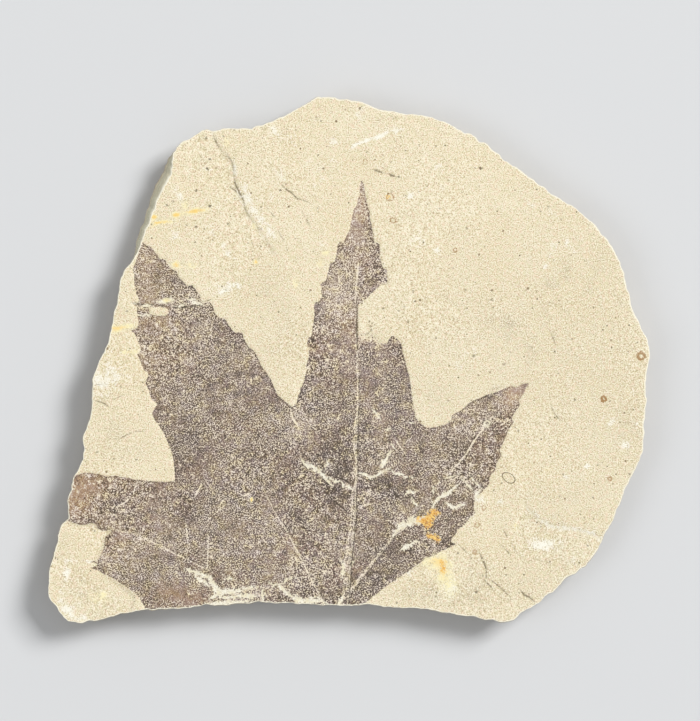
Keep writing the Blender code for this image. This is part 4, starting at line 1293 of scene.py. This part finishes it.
def leaf_film(mix, spot, ground, marks):
    """The leaf's film of carbon: dark flecks and worm-like gaps that show the stained stone."""
    worm = mix.grain(spot, WORM_GRAIN, 0.0)
    fleck = mix.grain(spot, FLECK_GRAIN, 0.0)
    cluster = mix.grain(spot, CLUSTER_GRAIN, 3.0, 0.65)
    drift = mix.grain(spot, DRIFT_GRAIN, 3.0, 0.6)
    film = marks["film"]
    thread = mix.rise(abs(mix.grain(spot, THREAD_GRAIN, 1.0, 0.5) - 0.5), 0.030, 0.006)
    thread = thread * mix.rise(mix.grain(spot, THREAD_ROOM_GRAIN, 1.0, 0.6), 0.50, 0.62)
    contrast = 0.7 + mix.rise(mix.grain(spot, CONTRAST_GRAIN, 2.0, 0.6), 0.35, 0.62) * 0.6
    contrast = contrast * (1 - marks["tan"] * 0.45) * (1 - marks["pale"] * 0.35)
    light = 0.42 + ((worm - 0.5) * 1.6 + (fleck - 0.5) * 2.4) * contrast + (cluster - 0.5) * 0.55
    light = light + (drift - 0.5) * 0.4 + marks["worn"] * 0.32 + marks["vein_band"] * 0.52
    light = light + marks["pale"] * 0.28 + marks["crumbled"] * 0.2 + thread * 0.55
    margin = mix.rise(film, 2.2, 0.5) * mix.rise(marks["worn"], 0.5, 0.1)
    light = light - marks["shade"] * 0.25 - margin * (1 - marks["tan"]) * 0.16

    hue = mix.grain(spot, HUE_GRAIN, 4.0, 0.7)
    carbon = mix.blend(mix.rise(hue, 0.42, 0.60), FILM_MAUVE, FILM_BROWN)
    carbon = mix.blend(mix.rise(drift, 0.50, 0.34) * 0.6, carbon, FILM_RUDDY)
    carbon = mix.blend(mix.rise(cluster, 0.48, 0.34) * 0.5, carbon, FILM_SLATE)
    carbon = mix.blend(marks["shade"] * 0.5, carbon, FILM_SLATE)
    carbon = mix.blend(marks["warm"] * 0.55, carbon, FILM_OLIVE)
    carbon = mix.blend(marks["tan"] * 0.62, carbon, FILM_TAN)
    carbon = mix.blend(marks["vein_band"] * 0.65, carbon, VEIN_PALE)
    black = mix.blend(0.15, FILM_BLACK, carbon)
    inside = mix.blend(mix.rise(light, 0.05, 0.46), black, carbon)
    inside = mix.blend(mix.rise(light, 0.46, 0.78), inside, FILM_GROUND)
    inside = mix.blend(mix.rise(light, 0.72, 0.95), inside, FILM_CRUMB)
    tint = mix.grain(spot, FILM_TINT_GRAIN, 3.0, 0.65)
    inside = mix.blend(mix.rise(tint, 0.49, 0.66), inside, YELLOWING, 'MULTIPLY')
    inside = mix.blend(mix.rise(tint, 0.50, 0.33), inside, BLUEING, 'MULTIPLY')
    edge = mix.rise(film + (worm - 0.5) * 1.8 + marks["ragged"] * 1.2, -0.4, 0.4) * marks["face"]
    bare = mix.rise(marks["worn"] + (worm - 0.5) * 2.2 + (cluster - 0.5) * 1.5, 0.75, 1.05)
    edge = edge * (1 - bare)
    cover = edge * mix.rise(light, 0.75, 0.4)
    return mix.blend(edge, ground, inside), cover, worm


def small_marks(mix, spot, wander):
    """Small brown rings and darker dots, each in its own place."""
    flat = mix.stretched(spot, (1.0, 1.0, 0.0))
    strength = 0.0

    def distance_px(x, y):
        centre = (*place(x, y), 0.0)
        return mix.node("ShaderNodeVectorMath", {"operation": 'DISTANCE'}, flat, centre) / PIXEL

    for x, y, radius, width, dark in RINGS_PX:
        off = abs(distance_px(x, y) - radius + wander)
        faint, full = (width * share for share in RING_EDGE)
        strength = (mix.rise(off, faint, full) * dark).most(strength)
    dots = 0.0
    for (radius, dark), spots in DOTS_PX.items():
        for x, y in spots:
            away = distance_px(x, y) + wander
            dots = (mix.rise(away, radius * DOT_EDGE[0], radius * DOT_EDGE[1]) * dark).most(dots)
    x, y, half_length, half_width, turn, dark = OVAL_RING_PX
    turned = math.radians(-turn)
    centre_x, centre_y = place(x, y)
    east, north, _ = mix.parts(flat)
    along = ((east - centre_x) * math.cos(turned) + (north - centre_y) * math.sin(turned)) / PIXEL
    beside = ((north - centre_y) * math.cos(turned) - (east - centre_x) * math.sin(turned)) / PIXEL
    oval = ((along / half_length) ** 2 + (beside / half_width) ** 2) ** 0.5
    return strength, (mix.rise(abs(oval - 1), *OVAL_EDGE) * dark).most(dots)


def vein_bands(mix, ragged):
    """How strongly the veins' pale bands show, and the painted shadow of the groove wall along one
    side of the widest of them. A wide vein shows as two rails with a fainter core."""
    band = 0.0
    border = 0.0
    for number in range(len(LINE_FAMILIES["vein"])):
        across, near, half_width = mix.fields(f"vein_{number}")
        off = across * half_width + ragged * 1.6
        core = mix.rise(abs(off) - half_width * 0.6, 0.4, -0.3)
        rail = mix.rise(abs(abs(off) - half_width + 0.8), 1.1, 0.3)
        wide = mix.rise(half_width, 1.6, 2.8)
        here = core * (1.1 - wide * 0.7) + rail * wide * 0.6
        here = here * near * (0.85 + ragged * 1.8)
        band = here.least(1.0).most(band)
        # painted shadow of the groove's wall, just outside one side of a wide vein
        beside = mix.rise(abs(off - half_width - 0.5), 0.9, 0.2) * mix.rise(half_width, 1.4, 2.4)
        border = (beside * near).most(border)
    return band, border


def cracked_and_chipped(mix, spot, colour, marks):
    """Painted shadow by wide veins and round chips, cracks and painted shadow lines, and fresh
    stone in the chips.
    """
    in_film = mix.rise(marks["film"], 0.0, 3.0)
    # Painted shadow along one side of the widest veins
    colour = mix.blend(marks["border"] * in_film * 0.55, colour, FILM_BLACK)
    broken_up = mix.rise(mix.grain(spot, SHADOW_GRAIN, 1.0), 0.50, 0.60)
    # Painted shadow just round the chips in the film, broken up
    colour = mix.blend(marks["crumbled"] * in_film * broken_up * 0.75, colour, FILM_BLACK)
    # Cracks, and painted shadow lines along the flaked step and beside the midrib and the chips
    crack, _ = line_strength(mix, "crack", marks["ragged"] * 3.0, 0.7)
    gaps = mix.rise(mix.grain(spot, CRACK_GAP_GRAIN, 1.0), 0.30, 0.42)
    crack = crack * marks["face"] * gaps * (0.8 + in_film * 0.1)
    colour = mix.blend(crack, colour, mix.blend(in_film, CRACK_AND_SHADOW_BROWN, FILM_BLACK))
    fresh = mix.blend(mix.rise(marks["mottle"], 0.4, 0.6), FRESH_CHIP, CHALK)
    fresh = mix.blend(mix.rise(marks["worm"], 0.5, 0.3) * 0.5, fresh, FILM_GROUND)
    return mix.blend(marks["chip"] * marks["face"] * 0.95, colour, fresh)


def stained(mix, colour, marks):
    """Pale yellow and ochre stains, and rust, with uneven edges."""
    yellow, rust, shred = marks["yellow"], marks["rust"], marks["shred"]
    patchy = (marks["mottle"] - 0.5) * 1.6 + marks["ragged"] * 0.8
    stain = mix.blend(mix.rise(yellow, 0.3, 0.8), PALE_YELLOW, OCHRE)
    yellowed = mix.rise(yellow + patchy, 0.0, 0.75) * mix.rise(yellow, 0.04, 0.2)
    colour = mix.blend(yellowed * marks["face"], colour, stain)
    rusty = mix.rise(rust + patchy * 1.3 + shred * 1.6, 0.2, 1.1) * mix.rise(rust, 0.04, 0.2)
    rust_colour = mix.blend(mix.rise(shred, -0.1, 0.15), RUST, OCHRE)
    return mix.blend(rusty * marks["face"], colour, rust_colour)


def broken_edge(mix, height, bands, marks):
    """The beds in the broken edge, grey on the sloping shoulder."""
    fine, broad = bands
    colour = mix.blend(mix.rise(broad, 0.42, 0.58), EDGE_GREY, EDGE_PALE)
    colour = mix.blend(mix.rise(fine, 0.50, 0.34) * 0.75, colour, EDGE_BROWN)
    colour = mix.blend(mix.rise(fine, 0.56, 0.70) * 0.6, colour, CHALK)
    colour = mix.blend(mix.rise(marks["grit"], 0.5, 0.3) * 0.5, colour, STONE_GRIT)
    colour = mix.blend(mix.rise(marks["mottle"], 0.52, 0.36) * 0.3, colour, CREAM_DEEP)
    sloping = mix.rise(marks["shoulder"], 0.1, 0.6) * mix.rise(height, *SHOULDER_GREY_MM)
    sloping = sloping * (0.55 + mix.rise(broad + marks["ragged"] * 0.3, 0.35, 0.6) * 0.4)
    return mix.blend(sloping, colour, SHOULDER_GREY)


def plate_finish():
    """The whole finish of the plate."""
    mix = Mix("fossil_stone")
    spot = mix.node("ShaderNodeTexCoord", None, output=3)
    marks = {"film": mix.field("film")}
    marks["face"], marks["rim"], marks["shoulder"] = mix.fields("place_on_plate")
    for name, kinds in PATCH_FIELDS.items():
        marks.update(zip(kinds, mix.fields(name)))
    face = marks["face"]
    ragged = mix.grain(spot, RAGGED_FINE_GRAIN, 2.0, 0.6)
    ragged = ragged + mix.grain(spot, RAGGED_BROAD_GRAIN, 2.0, 0.6) - 1.0
    shred = mix.grain(spot, SHRED_GRAIN, 1.0, 0.6) - 0.5
    marks.update(ragged=ragged, shred=shred)

    band, marks["border"] = vein_bands(mix, ragged)
    hair, _ = line_strength(mix, "hair", ragged * 2.0)
    marks["vein_band"] = band.most(hair * 1.4)
    chip_wander = ragged * 4.0 + shred * 4.5 + 0.1
    # the chips, and the painted shadow just round them
    marks["chip"], marks["crumbled"] = line_strength(mix, "chip", chip_wander, 0.3)

    ground, marks["grit"], marks["mottle"] = stone_ground(mix, spot, marks)
    colour, film_cover, marks["worm"] = leaf_film(mix, spot, ground, marks)
    colour = cracked_and_chipped(mix, spot, colour, marks)
    colour = stained(mix, colour, marks)
    rings, dots = small_marks(mix, spot, ragged * 3.5 + shred * 2.5)
    colour = mix.blend(rings * face, colour, IRON_BROWN)
    colour = mix.blend(dots * face, colour, DOT_BROWN)

    drawn_out = mix.stretched(spot, BAND_STRETCH)
    fine = mix.grain(drawn_out, FINE_BAND_GRAIN, 3.0, 0.7)
    broad = mix.grain(drawn_out, BROAD_BAND_GRAIN, 2.0, 0.5)
    height = mix.parts(spot)[2] / MM
    colour = mix.blend(face, broken_edge(mix, height, (fine, broad), marks), colour)
    at_top = face.most(mix.rise(height, *CRUSHED_RIM_MM))
    bruised = at_top * mix.rise(marks["rim"] + ragged * 0.6, 0.36, 0.10)
    colour = mix.blend(bruised * 0.95, colour, CHALK)

    lumps = marks["grit"] * 0.5 + marks["worm"] * film_cover * 0.4 + marks["mottle"] * 0.8
    lumps = lumps + (1 - face) * fine * 2.2
    bump = mix.node(
        "ShaderNodeBump", None, Strength=BUMP_STRENGTH, Distance=BUMP_HEIGHT, Height=lumps,
    )
    mix.feed(mix.shader.inputs["Base Color"], colour)
    mix.feed(mix.shader.inputs["Roughness"], STONE_ROUGHNESS - film_cover * FILM_SMOOTHER)
    mix.feed(mix.shader.inputs["Normal"], bump)
    mix.feed(mix.shader.inputs["Specular IOR Level"], SHEEN)
    return mix.material


def plate():
    """The fossil plate, ready in its place."""
    skin, rows, slope = plate_skin()
    on_face, underneath = shape_and_mark(skin, rows, slope)
    lay_out(skin, rows, on_face, underneath)
    for name in ("column", "row"):
        skin.data.attributes.remove(skin.data.attributes[name])
    work_on(skin)
    bpy.ops.object.mode_set(mode='OBJECT')
    bpy.ops.object.shade_smooth_by_angle(angle=math.radians(SMOOTH_ANGLE))
    skin.data.materials.append(plate_finish())
    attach(skin, "root")
    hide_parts("fossil_slab")


# The studio: the camera looks straight down on the face, far enough off to see it as flat
CAMERA_DISTANCE = 1.5
SENSOR_WIDTH = 36.0
FLOOR_SIZE = 40.0
FLOOR_GAP = 0.2 * MM
FLOOR_GREY = daylight(216, 217, 218)
FLOOR_ROUGHNESS = 0.9
ROOM_WHITE = (0.86, 0.87, 0.88, 1.0)
ROOM_STRENGTH = 0.47
# Each light's place, width and power
LIGHTS = {
    "key": ((5.5, 3.75, 5.5), 3.25, 800.0),
    "fill": ((-2.4, -0.6, 2.6), 2.0, 24.0),
}


def studio():
    """A pale floor, a broad soft key light from the upper right and a weak fill from the left."""
    bpy.ops.mesh.primitive_plane_add(size=FLOOR_SIZE, location=(0, 0, slab_low.z - FLOOR_GAP))
    floor = bpy.context.object
    floor.name = "floor"
    mix = Mix("pale_floor")
    mix.feed(mix.shader.inputs["Base Color"], FLOOR_GREY)
    mix.feed(mix.shader.inputs["Roughness"], FLOOR_ROUGHNESS)
    floor.data.materials.append(mix.material)

    world = bpy.data.worlds.new("pale_room")
    bpy.context.scene.world = world
    world.use_nodes = True
    background = world.node_tree.nodes["Background"]
    background.inputs["Color"].default_value = ROOM_WHITE
    background.inputs["Strength"].default_value = ROOM_STRENGTH

    for name, (place_at, size, power) in LIGHTS.items():
        bpy.ops.object.light_add(type='AREA', location=place_at)
        light = bpy.context.object
        light.name = name
        light.data.size = size
        light.data.energy = power
        light.rotation_euler = Vector(place_at).to_track_quat('Z', 'Y').to_euler()

    middle = place(PHOTO_SIZE_PX[0] / 2, PHOTO_SIZE_PX[1] / 2)
    bpy.ops.object.camera_add(location=(*middle, FACE + CAMERA_DISTANCE), rotation=(0, 0, 0))
    camera = bpy.context.object
    camera.data.sensor_width = SENSOR_WIDTH
    camera.data.lens = SENSOR_WIDTH * CAMERA_DISTANCE / (max(PHOTO_SIZE_PX) * PIXEL)
    bpy.context.scene.camera = camera
    bpy.context.scene.view_settings.view_transform = 'Standard'


plate()
studio()
